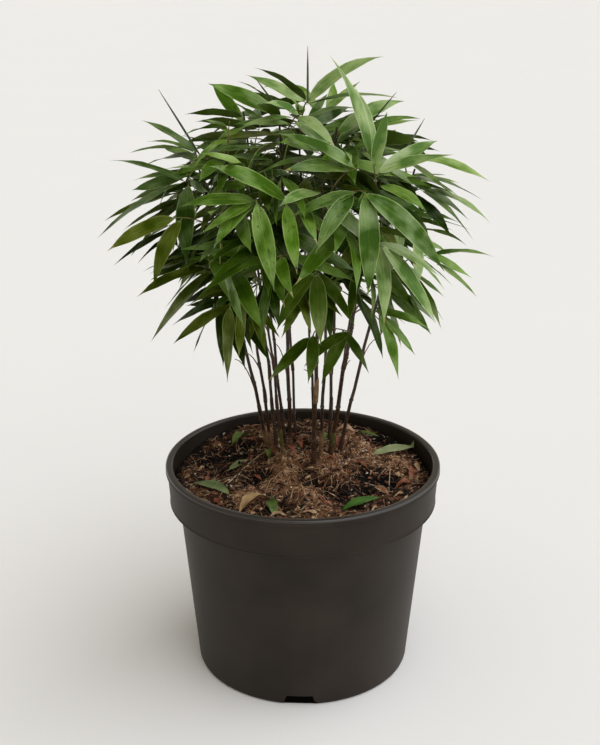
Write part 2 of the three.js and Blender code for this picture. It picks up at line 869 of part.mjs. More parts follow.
// The places of the sprays: those in view, one on each stem's top, and the rest on the domes.
function sprayPlaces(stems) {
  const places = frontSprays.map((spray) => ({ ...spray, at: vec(...spray.at), inView: true }));
  for (const stem of stems) {
    places.push({ at: stemPoint(stem, stem.topHeight), stem, path: leafyStemPoints(stem) });
  }
  const golden = 180 * (3 - Math.sqrt(5));
  let seed = seeds.places;
  for (const dome of crown.domes) {
    for (let i = 0; i < dome.sprays; i++) {
      const draw = seeded(seed++);
      const height = between(dome.highest, dome.lowest, (i + 0.5) / dome.sprays);
      const size = dome.scale * between(0.92, 1.06, draw());
      const around = direction(i * golden + 20 * draw(), Math.asin(height) / degrees);
      const drop = height > 0 ? crown.twigReach[2] : crown.twigDrop;
      const at = vec(
        crown.centre[0] + size * crown.twigReach[0] * around.x,
        crown.centre[1] + size * crown.twigReach[1] * around.y,
        crown.centre[2] + size * drop * around.z
      );
      if (places.some((place) => place.at.distanceTo(at) < crown.closest)) continue;
      places.push({ at });
    }
  }
  return places;
}

function growCrown(stems) {
  const crownState = { stems, taken: [], masses: [], inView: [] };
  for (const stem of stems) {
    const points = leafyStemPoints(stem);
    const radii = points.map((point) => stemRadius(stem, point.z));
    crownState.masses.push({ limbs: [{ points, radii, sides: culm.stemSides, level: true }], leaves: [] });
    const bare = [0, 0.35, 0.7, 1].map((share) =>
      stemPoint(stem, between(compost.edge, stem.neckHeight, share))
    );
    const whole = [...bare, ...points];
    const wide = whole.map((point) => stemRadius(stem, point.z));
    limbHulls(whole, wide).forEach((room) =>
      crownState.taken.push({ kind: "stem", mass: stem.index, hull: room })
    );
  }
  const sprays = sprayPlaces(stems);
  const grown = sprays.filter((spray) => spray.stem || growTwig(crownState, spray));
  grown.forEach((spray) => growSpike(crownState, spray));
  grown.forEach((spray, order) => {
    const draw = seeded(seeds.leaves + order);
    const fan = spray.inView ? frontFan(spray) : ruledFan(spray, draw);
    fan.forEach((plan, k) => {
      const root = backAlong(spray.path, 1 + k * leafRule.spacing);
      growLeaf(crownState, spray, root, plan);
    });
  });
  return crownState.masses;
}

function massSolid(mass, sunk) {
  const limbs = mass.limbs.map(({ points, radii, sides = twig.sides, level = false }) =>
    solidOf(limb(points, radii, sides, level))
  );
  const leaves = mass.leaves.map((leaf) => solidOf(leafShape(leaf, sunk)));
  return joined([...limbs, ...leaves]);
}

// Fallen leaves, each let down on the compost until it all but touches

function fallenLeaf({ middle, bearing, length }, ground) {
  const along = direction(bearing, 0);
  const root = vec(middle[0], middle[1], pot.height + 30).addScaledVector(along, -length / 2);
  const shape = leafShape({ root, along, face: upward.clone(), length });
  shape.translate(0, 0, gap - lowestGap(shape, ground));
  return shape;
}

// The least height of a shape over the ground, measured at many places of its faces.
function lowestGap(shape, ground) {
  const caster = new THREE.Raycaster();
  const position = shape.getAttribute("position");
  const corners = [];
  for (let i = 0; i < position.count; i++) corners.push(vec(0, 0, 0).fromBufferAttribute(position, i));
  let least = Infinity;
  const parts = 10;
  for (let i = 0; i < corners.length; i += 3) {
    for (let a = 0; a <= parts; a++) {
      for (let b = 0; a + b <= parts; b++) {
        const point = corners[i]
          .clone()
          .multiplyScalar(a / parts)
          .addScaledVector(corners[i + 1], b / parts)
          .addScaledVector(corners[i + 2], 1 - (a + b) / parts);
        caster.set(point, vec(0, 0, -1));
        const [hit] = caster.intersectObject(ground);
        if (hit) least = Math.min(least, hit.distance);
      }
    }
  }
  return least;
}

// The plant, put together

const bamboo = new THREE.Group();
const stems = culms.map(makeStem);
const label = (index) => String(index + 1).padStart(2, "0");

bamboo.add(piece("pot", [potSolid], colours.pot, 0.55));
const soil = piece("compost", [() => compostSolid(stems)], colours.compost, 0.95);
bamboo.add(soil);
stems.forEach((stem) => {
  const make = () => solidOf(culmShape(stem));
  bamboo.add(piece(`culm_${label(stem.index)}`, [make], colours.culm, 0.5));
});
growCrown(stems).forEach((mass, index) => {
  const makers = leafRule.sunk.map((sunk) => () => massSolid(mass, sunk));
  const colour = colours.leaves[index % colours.leaves.length];
  bamboo.add(piece(`foliage_${label(index)}`, makers, colour, 0.5));
});
fallenLeaves.forEach((leaf, index) => {
  const make = () => solidOf(fallenLeaf(leaf, soil));
  bamboo.add(piece(`fallen_leaf_${index + 1}`, [make], leaf.colour, 0.6));
});

export default bamboo;
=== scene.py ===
# A clumping bamboo in a round nursery pot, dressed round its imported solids.
# Metres, Z up. The front faces -Y and the origin is the centre of the pot's underside.
from math import asin, atan2, cos, exp, hypot, pi, radians, sin, sqrt

import bpy
import numpy as np
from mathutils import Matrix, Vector
from mathutils.bvhtree import BVHTree


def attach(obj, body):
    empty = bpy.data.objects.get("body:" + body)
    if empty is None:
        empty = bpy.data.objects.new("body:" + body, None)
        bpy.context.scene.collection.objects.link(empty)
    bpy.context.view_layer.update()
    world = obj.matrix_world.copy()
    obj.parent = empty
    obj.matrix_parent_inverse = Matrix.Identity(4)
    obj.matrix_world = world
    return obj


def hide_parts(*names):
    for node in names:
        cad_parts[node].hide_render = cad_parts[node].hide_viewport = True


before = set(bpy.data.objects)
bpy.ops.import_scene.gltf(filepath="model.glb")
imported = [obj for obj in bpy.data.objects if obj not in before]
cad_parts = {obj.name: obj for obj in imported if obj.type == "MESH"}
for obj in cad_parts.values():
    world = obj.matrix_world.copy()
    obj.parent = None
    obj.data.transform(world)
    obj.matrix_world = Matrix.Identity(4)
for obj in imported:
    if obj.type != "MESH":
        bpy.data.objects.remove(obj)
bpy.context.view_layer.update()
mm = 0.001               # the growth rule works in millimetres, as the solids' source does
degrees = pi / 180


# Small helpers


def linear(hexColour):
    shares = [(hexColour >> shift & 255) / 255 for shift in (16, 8, 0)]
    return [s / 12.92 if s <= 0.04045 else ((s + 0.055) / 1.055) ** 2.4 for s in shares] + [1]


def between(low, high, share):
    return low + (high - low) * share


def paler(hexColour, share):
    return sum(int(between(hexColour >> shift & 255, 255, share)) << shift for shift in (16, 8, 0))


# Random numbers between 0 and 1, always the same ones for a seed.
def seeded(seed):
    factor, modulus = 16807, 2**31 - 1
    state = (seed * 48271 + 11) % modulus * factor % modulus

    def draw():
        nonlocal state
        state = state * factor % modulus
        return state / modulus

    return draw


def unit(vector):
    return vector / np.linalg.norm(vector)


def deselectAll():
    if bpy.context.object and bpy.context.object.mode != "OBJECT":
        bpy.ops.object.mode_set(mode="OBJECT")
    bpy.ops.object.select_all(action="DESELECT")


def only(piece):
    deselectAll()
    piece.select_set(True)
    bpy.context.view_layer.objects.active = piece


# Names and dresses a piece and ties it to the frame. A look is a material or a litter's settings.
def finishPiece(piece, name, looks, angle=35, replaced=()):
    piece.name = piece.data.name = name
    only(piece)
    piece.data.materials.clear()
    for look in looks:
        piece.data.materials.append(litterMaterial(*look) if isinstance(look, tuple) else look)
    bpy.ops.object.shade_smooth_by_angle(angle=radians(angle))
    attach(piece, "root")
    if replaced:
        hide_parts(*replaced)


# Extrudes a filled circle from ring to ring. A ring is (x, y, z, radius).
def extrudeRings(rings, sides, scale=mm, closed=True):
    rings = [[part * scale for part in ring] for ring in rings]
    deselectAll()
    bpy.ops.mesh.primitive_circle_add(
        vertices=sides, radius=rings[0][3], location=rings[0][:3], fill_type="NGON"
    )
    piece = bpy.context.object
    bpy.ops.object.transform_apply(location=True, rotation=True, scale=True)
    bpy.ops.object.mode_set(mode="EDIT")
    bpy.ops.mesh.select_mode(type="EDGE")
    bpy.ops.mesh.select_all(action="SELECT")
    for (x0, y0, z0, radius0), (x1, y1, z1, radius1) in zip(rings, rings[1:]):
        bpy.ops.mesh.extrude_edges_move(TRANSFORM_OT_translate={"value": (x1 - x0, y1 - y0, z1 - z0)})
        share = radius1 / radius0
        bpy.ops.transform.resize(value=(share, share, 1), center_override=(x1, y1, z1))
    if closed:
        bpy.ops.mesh.edge_face_add()
    bpy.ops.mesh.select_all(action="SELECT")
    bpy.ops.mesh.normals_make_consistent(inside=False)
    bpy.ops.object.mode_set(mode="OBJECT")
    return piece


def applyModifier(piece, kind, **settings):
    only(piece)
    modifier = piece.modifiers.new(kind.lower(), kind)
    for name, value in settings.items():
        setattr(modifier, name, value)
    bpy.ops.object.modifier_apply(modifier=modifier.name)


# A heap of small shapes that becomes one joined mesh.
def newHeap():
    return {"points": [], "faces": [], "slots": [], "uvs": [], "edges": [], "count": 0}


# The slots are one for each face, or one number for all.
def addToHeap(heap, points, faces, slots, uvs=None):
    base = heap["count"]
    heap["points"].append(points)
    heap["faces"] += [[base + corner for corner in face] for face in faces]
    heap["slots"] += slots if isinstance(slots, list) else [slots] * len(faces)
    if uvs is not None:
        heap["uvs"].append(uvs)
    heap["count"] += len(points)


def heapPiece(heap, name, looks, angle=35, replaced=()):
    mesh = bpy.data.meshes.new(name)
    mesh.from_pydata(np.vstack(heap["points"]) * mm, [], heap["faces"])
    mesh.update()
    piece = bpy.data.objects.new(name, mesh)
    bpy.context.scene.collection.objects.link(piece)
    if heap["uvs"]:
        corners = np.zeros(len(mesh.loops), dtype=np.int32)
        mesh.loops.foreach_get("vertex_index", corners)
        spread = np.vstack(heap["uvs"])[corners].ravel()
        mesh.uv_layers.new(name="blade").data.foreach_set("uv", spread)
    if heap["edges"]:
        mesh.attributes.new("edge", "FLOAT", "POINT").data.foreach_set("value", heap["edges"])
    finishPiece(piece, name, looks, angle, replaced)
    mesh.polygons.foreach_set("material_index", heap["slots"])
    mesh.update()
    return len(mesh.polygons)


# Materials


# A setting or a link names a socket, by name or number, or a property.
def setNode(tree, node, settings, links):
    for name, value in settings.items():
        if name == "stops":
            stops = node.color_ramp.elements
            while len(stops) < len(value):
                stops.new(0.5)
            for stop, (place, colour) in zip(stops, value):
                stop.position = place
                stop.color = linear(colour)
        elif isinstance(name, int) or name in node.inputs:
            node.inputs[name].default_value = value
        else:
            setattr(node, name, value)
    for name, source in links.items():
        tree.links.new(source, node.inputs[name])


# Adds a node and gives back one of its outputs.
def addNode(tree, kind, settings={}, links={}, output=0):
    node = tree.nodes.new("ShaderNode" + kind)
    setNode(tree, node, settings, links)
    return node.outputs[output]


def newMaterial(name):
    material = bpy.data.materials.new(name)
    material.use_nodes = True
    return material, material.node_tree, material.node_tree.nodes["Principled BSDF"]


def objectPattern(tree, stretch=(1, 1, 1)):
    place = addNode(tree, "TexCoord", output="Object")
    return addNode(tree, "Mapping", {"Scale": stretch}, {"Vector": place})


# One noise colours the surface by its stops and, with a bump of (strength, depth), roughens it.
def noiseMaterial(name, settings, noise, stops, bump=None, stretch=(1, 1, 1)):
    material, tree, shader = newMaterial(name)
    mottle = addNode(tree, "TexNoise", noise, {"Vector": objectPattern(tree, stretch)})
    links = {"Base Color": addNode(tree, "ValToRGB", {"stops": stops}, {"Fac": mottle})}
    if bump:
        relief = {"Strength": bump[0], "Distance": bump[1] * mm}
        links["Normal"] = addNode(tree, "Bump", relief, {"Height": mottle})
    setNode(tree, shader, settings, links)
    return material


# A dry or moist bit of plant: two shades in a mottle of a size in millimetres, matte if not said.
def litterMaterial(name, dark, light, size=3, roughness=0.85, sheen=0.3):
    return noiseMaterial(
        name,
        {"Roughness": roughness, "Specular IOR Level": sheen},
        {"Scale": 1000 / size, "Detail": 3},
        [(0.35, dark), (0.68, light)],
        (0.4, 0.3),
    )


# Injection-moulded polypropylene: an even dark brown-grey with a faint grain and a soft sheen,
# matte on the wall and rubbed smoother and shinier on the lip.
def polypropylene(name, smoothest, sheen):
    size = {"cloud": 60, "grain": 0.9}
    material, tree, shader = newMaterial(name)
    place = objectPattern(tree)
    cloud = addNode(tree, "TexNoise", {"Scale": 1000 / size["cloud"], "Detail": 4}, {"Vector": place})
    colour = addNode(tree, "ValToRGB", {"stops": [(0.3, 0x28221C), (0.72, 0x352E28)]}, {"Fac": cloud})
    gloss = addNode(
        tree, "MapRange", {"To Min": smoothest, "To Max": smoothest + 0.14}, {"Value": cloud}
    )
    grain = addNode(tree, "TexNoise", {"Scale": 1000 / size["grain"], "Detail": 2}, {"Vector": place})
    bump = addNode(tree, "Bump", {"Strength": 0.12, "Distance": 0.2 * mm}, {"Height": grain})
    links = {"Base Color": colour, "Roughness": gloss, "Normal": bump}
    setNode(tree, shader, {"IOR": 1.49, "Specular IOR Level": sheen}, links)
    return material


# Moist bark compost: red-brown on the crumbs, rough all over, and near black in the pits and by the pot's
# wall, where the lift paints shade into its colour.
def barkCompost():
    size = {"clod": 6, "crumb": 1.6, "grit": 0.9}
    stops = [(0.44, 0x060402), (0.62, 0x130B07), (0.76, 0x2A1A10), (0.87, 0x523523), (0.96, 0x7C583D)]
    material, tree, shader = newMaterial("moistBarkCompost")
    place = {"Vector": objectPattern(tree)}
    lift = addNode(tree, "Attribute", {"attribute_name": "lift"}, output="Fac")
    clod = addNode(tree, "TexNoise", {"Scale": 1000 / size["clod"], "Detail": 5, "Roughness": 0.65}, place)
    crumb = addNode(tree, "TexNoise", {"Scale": 1000 / size["crumb"], "Detail": 3}, place)
    mottle = addNode(tree, "Math", {"operation": "ADD"}, {0: clod, 1: crumb})
    height = addNode(tree, "Math", {"operation": "MULTIPLY_ADD", 1: 0.34}, {0: mottle, 2: lift})
    colour = addNode(tree, "ValToRGB", {"stops": stops}, {"Fac": height})
    grit = addNode(tree, "TexNoise", {"Scale": 1000 / size["grit"], "Detail": 4}, place)
    bump = addNode(tree, "Bump", {"Strength": 0.9, "Distance": 1.2 * mm}, {"Height": grit})
    settings = {"Roughness": 0.92, "Specular IOR Level": 0.2}
    setNode(tree, shader, settings, {"Base Color": colour, "Normal": bump})
    return material


# Living bamboo leaf: its spray's green, faintly mottled, and waxy enough for a satin sheen that
# breaks into streaks along the blade. Real veins are 0.4 mm apart, drawn here every 1.3 mm.
def leafBlade(name, deep, bright, sheen, roughness=0.34):
    material, tree, shader = newMaterial(name)
    across = addNode(tree, "UVMap", {"uv_map": "blade"})
    # the streaks are about 2.4 mm wide and a fifth of the blade long, and the bloom's patches 26 mm
    along = addNode(tree, "Mapping", {"Scale": (2.6, 3.4, 1)}, {"Vector": across})
    streak = addNode(tree, "TexNoise", {"Scale": 1.6, "Detail": 4, "Roughness": 0.6}, {"Vector": along})
    gloss = addNode(
        tree,
        "MapRange",
        {"From Min": 0.3, "From Max": 0.7, "To Min": roughness - 0.14, "To Max": roughness + 0.14},
        {"Value": streak},
    )
    bloom = addNode(tree, "TexNoise", {"Scale": 38, "Detail": 2}, {"Vector": objectPattern(tree)})
    wax = addNode(
        tree,
        "MapRange",
        {"From Min": 0.42, "From Max": 0.6, "To Min": 0.1 * sheen, "To Max": 2.1 * sheen},
        {"Value": bloom},
    )
    mottle = addNode(tree, "Math", {"operation": "MULTIPLY_ADD", 1: 0.32}, {0: streak, 2: bloom})
    # Towards its edges the blade turns paler: partly the pale margin, partly a painted highlight where the
    # edges catch the light.
    edge = addNode(tree, "Attribute", {"attribute_name": "edge"}, output="Fac")
    marginHighlight = addNode(
        tree, "MapRange", {"From Min": 0.86, "From Max": 1, "To Min": 0, "To Max": 0.5}, {"Value": edge}
    )
    shade = addNode(tree, "Math", {"operation": "ADD"}, {0: mottle, 1: marginHighlight})
    stops = [(0.55, deep), (0.76, bright), (1, paler(bright, 0.24))]
    green = addNode(tree, "ValToRGB", {"stops": stops}, {"Fac": shade})
    waves = {"Scale": 2.4, "Distortion": 0.3, "bands_direction": "X", "Detail": 1}
    veins = addNode(tree, "TexWave", waves, {"Vector": across}, "Fac")
    wavy = addNode(tree, "Bump", {"Strength": 0.7, "Distance": 1.1 * mm}, {"Height": streak})
    bump = addNode(
        tree, "Bump", {"Strength": 0.22, "Distance": 0.15 * mm}, {"Height": veins, "Normal": wavy}
    )
    links = {"Base Color": green, "Roughness": gloss, "Specular IOR Level": wax, "Normal": bump}
    setNode(tree, shader, {"IOR": 1.45}, links)
    return material


# Drops of dew: clear, round and shiny, so each has a bright point in it.
def dewWater():
    material, tree, shader = newMaterial("dewWater")
    clear = {"Base Color": (1, 1, 1, 1), "Roughness": 0.03, "IOR": 1.33, "Transmission Weight": 1}
    setNode(tree, shader, clear, {})
    return material


# The growth rule, as in the solids' source

compost = {"edge": 189.5, "mound": 13.5, "moundReach": 60, "ripple": 0.9, "clump": [3, 32]}

# Each culm's foot and the top of its leafy stem, seen from above, and its radius at the foot.
culms = [
    ([-34, 46], [-98, 30], 1.9), ([-30, 34], [-66, -42], 1.7), ([-25, 32], [-58, 88], 1.7),
    ([-19, 18], [-46, -70], 1.5), ([-17, 41], [-52, 16], 1.7), ([-12, 30], [-20, -15], 2.2),
    ([-7, 61], [-22, 105], 1.5), ([12, 51], [-5, 58], 1.5), ([10, 3], [16, -85], 2.3),
    ([17, 14], [28, -35], 1.9), ([26, 44], [36, 100], 1.8), ([26, 20], [64, -60], 2.3),
    ([29, 34], [68, 55], 1.4), ([35, 30], [98, 5], 1.9),
]
culm = {
    "sides": 10, "planted": 5, "neck": 330, "neckSpread": 12, "clearance": 0.3, "bow": 0.18,
    "sway": 0.7, "swayLength": 13, "internode": 43, "firstJoint": (0.35, 1), "neckTaper": 0.78,
    "tipRadius": 0.9, "stemStep": 34,
}

# The crown: the twigs end on domes round its centre, and the leaves stay inside its outline. A dome
# is its scale, its number of sprays, and its highest and lowest share of the height.
crown = {
    "centre": [-8, 10, 430], "twigReach": [112, 112, 112], "twigDrop": 88, "stemReach": 125,
    "shoulder": 1.7, "outline": [179, 176, 158], "outlineDrop": 138, "bulgeAbove": 1.5,
    "bulgeBelow": 1.9, "domes": [(1, 54, 1, -0.85), (0.8, 12, 1, 0.3), (0.6, 14, 0.9, -0.7)],
    "scaleJitter": (0.92, 1.06), "turnJitter": 20, "closest": 24, "spaceMargin": 34,
}
twig = {
    "steps": 3, "hullRadii": (1.2, 0.95), "room": 0.35, "stub": 14, "rise": 26, "riseByDistance": 0.35,
    "lowerStarts": [0, 14, -12, 28], "out": 0.4, "up": 0.8, "arch": 0.12,
}
spike = {"radii": [1.1, 0.9, 0.25], "sunk": 1}

# A leaf's measures are shares of its length, apart from the lengths, the spacing along the twig,
# the stalk and the room kept round it. The reach is a share of the crown's outline.
leafRule = {
    "leaves": [4, 7], "lengths": [62, 88], "shortest": 44, "reach": 1, "trim": 4, "width": 0.215,
    "widest": 0.36, "thickness": 0.0125, "arch": 0.055, "spacing": 4.2, "stalk": 5, "room": 0.7,
    "roomWider": 0.15, "outward": 0.6,
}

# How the leaves of a spray fan out, in degrees, and how each next one droops and shrinks.
fanRule = {
    "bearing": 84, "pitch": 44, "tilt": 50, "firstSpread": 22, "nextSpread": 12, "spreadJitter": 16,
    "droop": 0.08, "shrink": 0.05, "roll": 60,
}
sprayPitches = [[-0.2, -72], [0, -62], [0.3, -36], [0.5, -28], [0.8, 2], [1.05, 42]]
seeds = {
    "stems": 1, "places": 101, "leaves": 1000, "fine": 5001, "fineLeaves": 7001, "looks": 9001,
    "blades": 20001, "dew": 25001, "crumbs": 31001, "fibres": 32001, "perlite": 33001, "straws": 34001,
    "scraps": 35001, "scrapForms": 36001, "fallen": 41001, "sheaths": 45001,
}

# The finer growth that the solids leave out: more domes, thinner twigs and smaller leaves, and
# sprays in the crown's open middle.
fine = {
    "domes": [
        (0.9, 52, 0.98, -0.3), (0.74, 76, 0.95, -0.6), (0.56, 60, 0.95, -0.6), (0.36, 36, 0.95, -0.4),
        (0.84, 44, 0.98, 0.35),
    ],
    "core": [
        [-2, 16, 458], [-14, 12, 470], [-4, 0, 484], [4, 12, 496], [-10, 22, 506], [-14, 4, 514],
        [10, 26, 474], [16, 8, 488], [4, 36, 482], [-24, 26, 494], [-2, 8, 522], [12, 20, 512],
    ],
    "reach": 0.82, "closest": 12, "nearest": 9, "furthest": 62, "startsBelow": 14, "fromNeck": 10,
    "stemStep": 9, "twigSteps": 8, "hullRadii": (0.24, 0.15), "leaves": [3, 6], "lengths": [50, 78],
    "shortest": 38, "room": 0.3,
}

# Sprays in full view: where the twig ends and, for each leaf, its slant seen from the front, its
# lean towards the front, its length and in places its roll; then the spray's green and, in two of
# them, the slant, lean and length of a leaf that is still rolled up.
frontSprays = [
    (
        [4, 20, 538], [[153, 40, 72, -30], [160, -30, 68, -50], [31, 0, 80, 70], [4, 0, 84, 28]],
        "sage", [90, 0, 49],
    ),
    (
        [56, -56, 504],
        [[113, 0, 92], [104, -32, 70], [80, 20, 54, -70], [13, 0, 68], [24, -30, 70]], "sage",
    ),
    ([44, -82, 500], [[155, 5, 72], [176, 20, 60]], "willow"),
    (
        [50, -106, 487],
        [[272, 12, 85], [317, 8, 94], [200, 5, 58], [234, 30, 62], [216, 50, 60]], "willow",
    ),
    ([-38, -100, 478], [[281, 8, 76], [185, 0, 62], [206, 30, 58], [222, 42, 60]], "meadow"),
    ([-15, -94, 475], [[279, 8, 60], [154, 4, 72]], ["lime", "meadow"]),
    ([-104, -12, 474], [[213, 0, 94], [164, 0, 70], [268, 18, 72, -40]], "slate"),
    ([-92, 14, 494], [[152, -12, 60], [196, -24, 62]], "slate", [121, 0, 66]),
    ([-110, -26, 446], [[206, 0, 70, -35], [246, 8, 66, -40]], "olive"),
    ([-82, -32, 402], [[194, 0, 72], [229, 4, 88]], "olive"),
    ([-64, -48, 374], [[267, 6, 72], [214, 0, 66]], "olive"),
    ([42, -56, 351], [[213, 20, 52], [245, 10, 52], [302, 10, 46]], "moss"),
    ([8, -62, 349], [[226, 5, 56], [262, 30, 46]], "moss"),
    ([10, -92, 416], [[237, 5, 60], [274, 5, 64], [305, 5, 58]], "moss"),
    ([66, -58, 369], [[287, 10, 62], [312, 5, 52], [340, 0, 54]], "meadow"),
    ([62, -92, 441], [[306, 5, 84], [275, 10, 72], [333, 10, 60]], "sage"),
    ([84, -20, 497], [[345, 0, 80], [325, 10, 66]], "leafy"),
    ([104, -22, 470], [[333, 0, 68], [319, 24, 66]], "sage"),
    ([114, 0, 405], [[358, 0, 60], [325, 20, 60]], "meadow"),
]

upward = np.array([0.0, 0.0, 1.0])
centre = np.array(crown["centre"], float)


def groundHeight(x, y):
    away = hypot(x - compost["clump"][0], y - compost["clump"][1]) / compost["moundReach"]
    waves = sin(x / 9 + 1) * cos(y / 11) + 0.6 * sin((x + 1.4 * y) / 6)
    return compost["edge"] + compost["mound"] * exp(-away * away) + compost["ripple"] * waves


# The dome's height over a point of the plan.
def domeHeight(x, y):
    away = hypot(x - centre[0], y - centre[1]) / crown["stemReach"]
    power = crown["shoulder"]
    return centre[2] + crown["twigReach"][2] * max(0, 1 - away**power) ** (1 / power)


def makeStem(index, foot, top, radius):
    draw = seeded(seeds["stems"] + index)
    return {
        "index": index,
        "foot": foot,
        "top": top,
        "radius": radius,
        "footHeight": groundHeight(*foot) - culm["planted"],
        "neckHeight": culm["neck"] + culm["neckSpread"] * (2 * draw() - 1),
        "topHeight": domeHeight(*top),
        "phase": 2 * pi * draw(),
        "firstJoint": between(*culm["firstJoint"], draw()) * culm["internode"],
    }


def stemPoint(stem, z):
    share = (z - stem["footHeight"]) / (stem["topHeight"] - stem["footHeight"])
    out = share * (1 - culm["bow"] + culm["bow"] * share)
    sway = culm["sway"] * sin(z / culm["swayLength"] + stem["phase"]) * min(1, 4 * max(0, share))
    (x0, y0), (x1, y1) = stem["foot"], stem["top"]
    return np.array([between(x0, x1, out) + sway, between(y0, y1, out) + sway * cos(stem["phase"]), z])


def stemRadius(stem, z):
    neck = stem["radius"] * culm["neckTaper"]
    if z <= stem["neckHeight"]:
        share = (z - stem["footHeight"]) / (stem["neckHeight"] - stem["footHeight"])
        return between(stem["radius"], neck, max(0, share))
    share = (z - stem["neckHeight"]) / (stem["topHeight"] - stem["neckHeight"])
    return between(neck, culm["tipRadius"], share)


def leafyStemPoints(stem):
    start = stem["neckHeight"] + culm["clearance"]
    steps = round((stem["topHeight"] - start) / culm["stemStep"])
    return [stemPoint(stem, between(start, stem["topHeight"], i / steps)) for i in range(steps + 1)]


# The two directions across a limb at each point, turned as little as possible from ring to ring.
def ringFrames(points):
    across = np.array([1.0, 0.0, 0.0])
    frames = []
    for i in range(len(points)):
        along = unit(points[min(i + 1, len(points) - 1)] - points[max(i - 1, 0)])
        if abs(across @ along) > 0.95:
            across = np.array([0.0, 1.0, 0.0])
        across = unit(across - along * (across @ along))
        frames.append((across, np.cross(across, along)))
    return frames


# Room that is taken: simple hulls round limbs and leaves, tested edge against face. A limb's first
# three edges stand twice, so that it has twelve as a leaf has.
leafFaces = [[0, 2, 4], [0, 4, 3], [0, 3, 5], [0, 5, 2], [1, 4, 2], [1, 3, 4], [1, 5, 3], [1, 2, 5]]
leafEdges = [[0, 2], [1, 2], [0, 3], [1, 3], [0, 4], [1, 4], [0, 5], [1, 5], [2, 4], [4, 3], [3, 5], [5, 2]]
limbFaces = [[0, 1, 2], [3, 5, 4], [0, 3, 4], [0, 4, 1], [1, 4, 5], [1, 5, 2], [2, 5, 3], [2, 3, 0]]
limbEdges = [[0, 1], [1, 2], [2, 0], [3, 4], [4, 5], [5, 3], [0, 3], [1, 4], [2, 5], [0, 1], [1, 2], [2, 0]]
mostHulls = 9000
taken = {
    "faces": np.zeros((mostHulls, 8, 3, 3)),
    "edges": np.zeros((mostHulls, 12, 2, 3)),
    "centre": np.zeros((mostHulls, 3)),
    "reach": np.zeros(mostHulls),
    "isLeaf": np.zeros(mostHulls, bool),
    "mass": np.zeros(mostHulls, int),
    "spray": np.zeros(mostHulls, int),
    "count": 0,
}


def hull(corners, faces, edges):
    corners = np.array(corners)
    middle = corners.mean(0)
    reach = np.linalg.norm(corners - middle, axis=1).max()
    return {"faces": corners[faces], "edges": corners[edges], "centre": middle, "reach": reach}


def leafHull(leaf, room):
    root, along, face, length = leaf["root"], leaf["along"], leaf["face"], leaf["length"]
    across = np.cross(face, along)
    half = (1 + leafRule["roomWider"]) * leafRule["width"] * length / 2 + room
    thick = leafRule["thickness"] * length / 2 + room
    ring = root + leafRule["widest"] * length * along + leafRule["arch"] * length * face
    ends = [root + leafRule["stalk"] * along, root + (length + room) * along]
    sides = [ring + half * across, ring - half * across, ring + thick * face, ring - thick * face]
    return hull(ends + sides, leafFaces, leafEdges)


def limbHulls(points, radii):
    triangles = []
    for point, radius, (across, over) in zip(points, radii, ringFrames(points)):
        wide = 2 * (radius + twig["room"])
        angles = [k * 2 * pi / 3 for k in range(3)]
        triangles.append([point + wide * (cos(a) * across + sin(a) * over) for a in angles])
    return [hull(low + high, limbFaces, limbEdges) for low, high in zip(triangles, triangles[1:])]


def takeRoom(room, isLeaf, mass, spray):
    i = taken["count"]
    for key in ("faces", "edges", "centre", "reach"):
        taken[key][i] = room[key]
    taken["isLeaf"][i], taken["mass"][i], taken["spray"][i] = isLeaf, mass, spray
    taken["count"] += 1


# Whether any of the edges goes through any of the faces.
def pierced(edges, faces):
    start, ray = edges[..., 0, :], edges[..., 1, :] - edges[..., 0, :]
    a = faces[..., 0, :]
    edge1, edge2 = faces[..., 1, :] - a, faces[..., 2, :] - a
    slope = np.cross(ray, edge2)
    scale = (edge1 * slope).sum(-1)
    flat = np.abs(scale) < 1e-12
    scale = np.where(flat, 1, scale)
    away = start - a
    u = (away * slope).sum(-1) / scale
    turn = np.cross(away, edge1)
    w = (ray * turn).sum(-1) / scale
    t = (edge2 * turn).sum(-1) / scale
    return (~flat & (u >= 0) & (u <= 1) & (w >= 0) & (u + w <= 1) & (t >= 0) & (t <= 1)).any()


# Whether a hull is clear of all taken room but its own twig's.
def isFree(room, own):
    away = np.linalg.norm(taken["centre"][:taken["count"]] - room["centre"], axis=1)
    near = np.nonzero((away <= taken["reach"][:taken["count"]] + room["reach"]) & ~own)[0]
    if not len(near):
        return True
    if pierced(room["edges"][None, None], taken["faces"][near][:, :, None]):
        return False
    return not pierced(taken["edges"][near][:, None], room["faces"][None, :, None])


# The point that lies a distance back from the end of a line of points.
def backAlong(points, left):
    for i in range(len(points) - 1, 0, -1):
        step = np.linalg.norm(points[i] - points[i - 1])
        if left <= step or i == 1:
            return points[i] + (points[i - 1] - points[i]) * (left / step)
        left -= step


# How far out a point lies: 1 is on the crown's outline, which is a dome above and rounder below.
def outlineShare(point):
    wide, deep, high = crown["outline"]
    above = point[2] > centre[2]
    power = crown["bulgeAbove"] if above else crown["bulgeBelow"]
    up = abs(point[2] - centre[2]) / (high if above else crown["outlineDrop"])
    aside = hypot((point[0] - centre[0]) / wide, (point[1] - centre[1]) / deep)
    return aside**power + up**power


# How steeply the leaves of a spray stand at a height.
def sprayPitch(z):
    share = (z - centre[2] + crown["twigDrop"]) / (crown["twigDrop"] + crown["twigReach"][2])
    for (lowShare, lowPitch), (highShare, highPitch) in zip(sprayPitches, sprayPitches[1:]):
        if share <= highShare:
            return between(lowPitch, highPitch, max(0, (share - lowShare) / (highShare - lowShare)))
    return highPitch


def direction(bearing, pitch):
    b, p = bearing * degrees, pitch * degrees
    return np.array([cos(b) * cos(p), sin(b) * cos(p), sin(p)])


# The way that something points, from its slant seen from the front and its lean to the front.
def frontDirection(slant, lean):
    x, z, nearer = direction(slant, lean)
    return np.array([x, -nearer, z])


def frontFan(spray):
    return [
        {"along": frontDirection(slant, lean), "length": length, "roll": sum(roll)}
        for slant, lean, length, *roll in spray["leaves"]
    ]


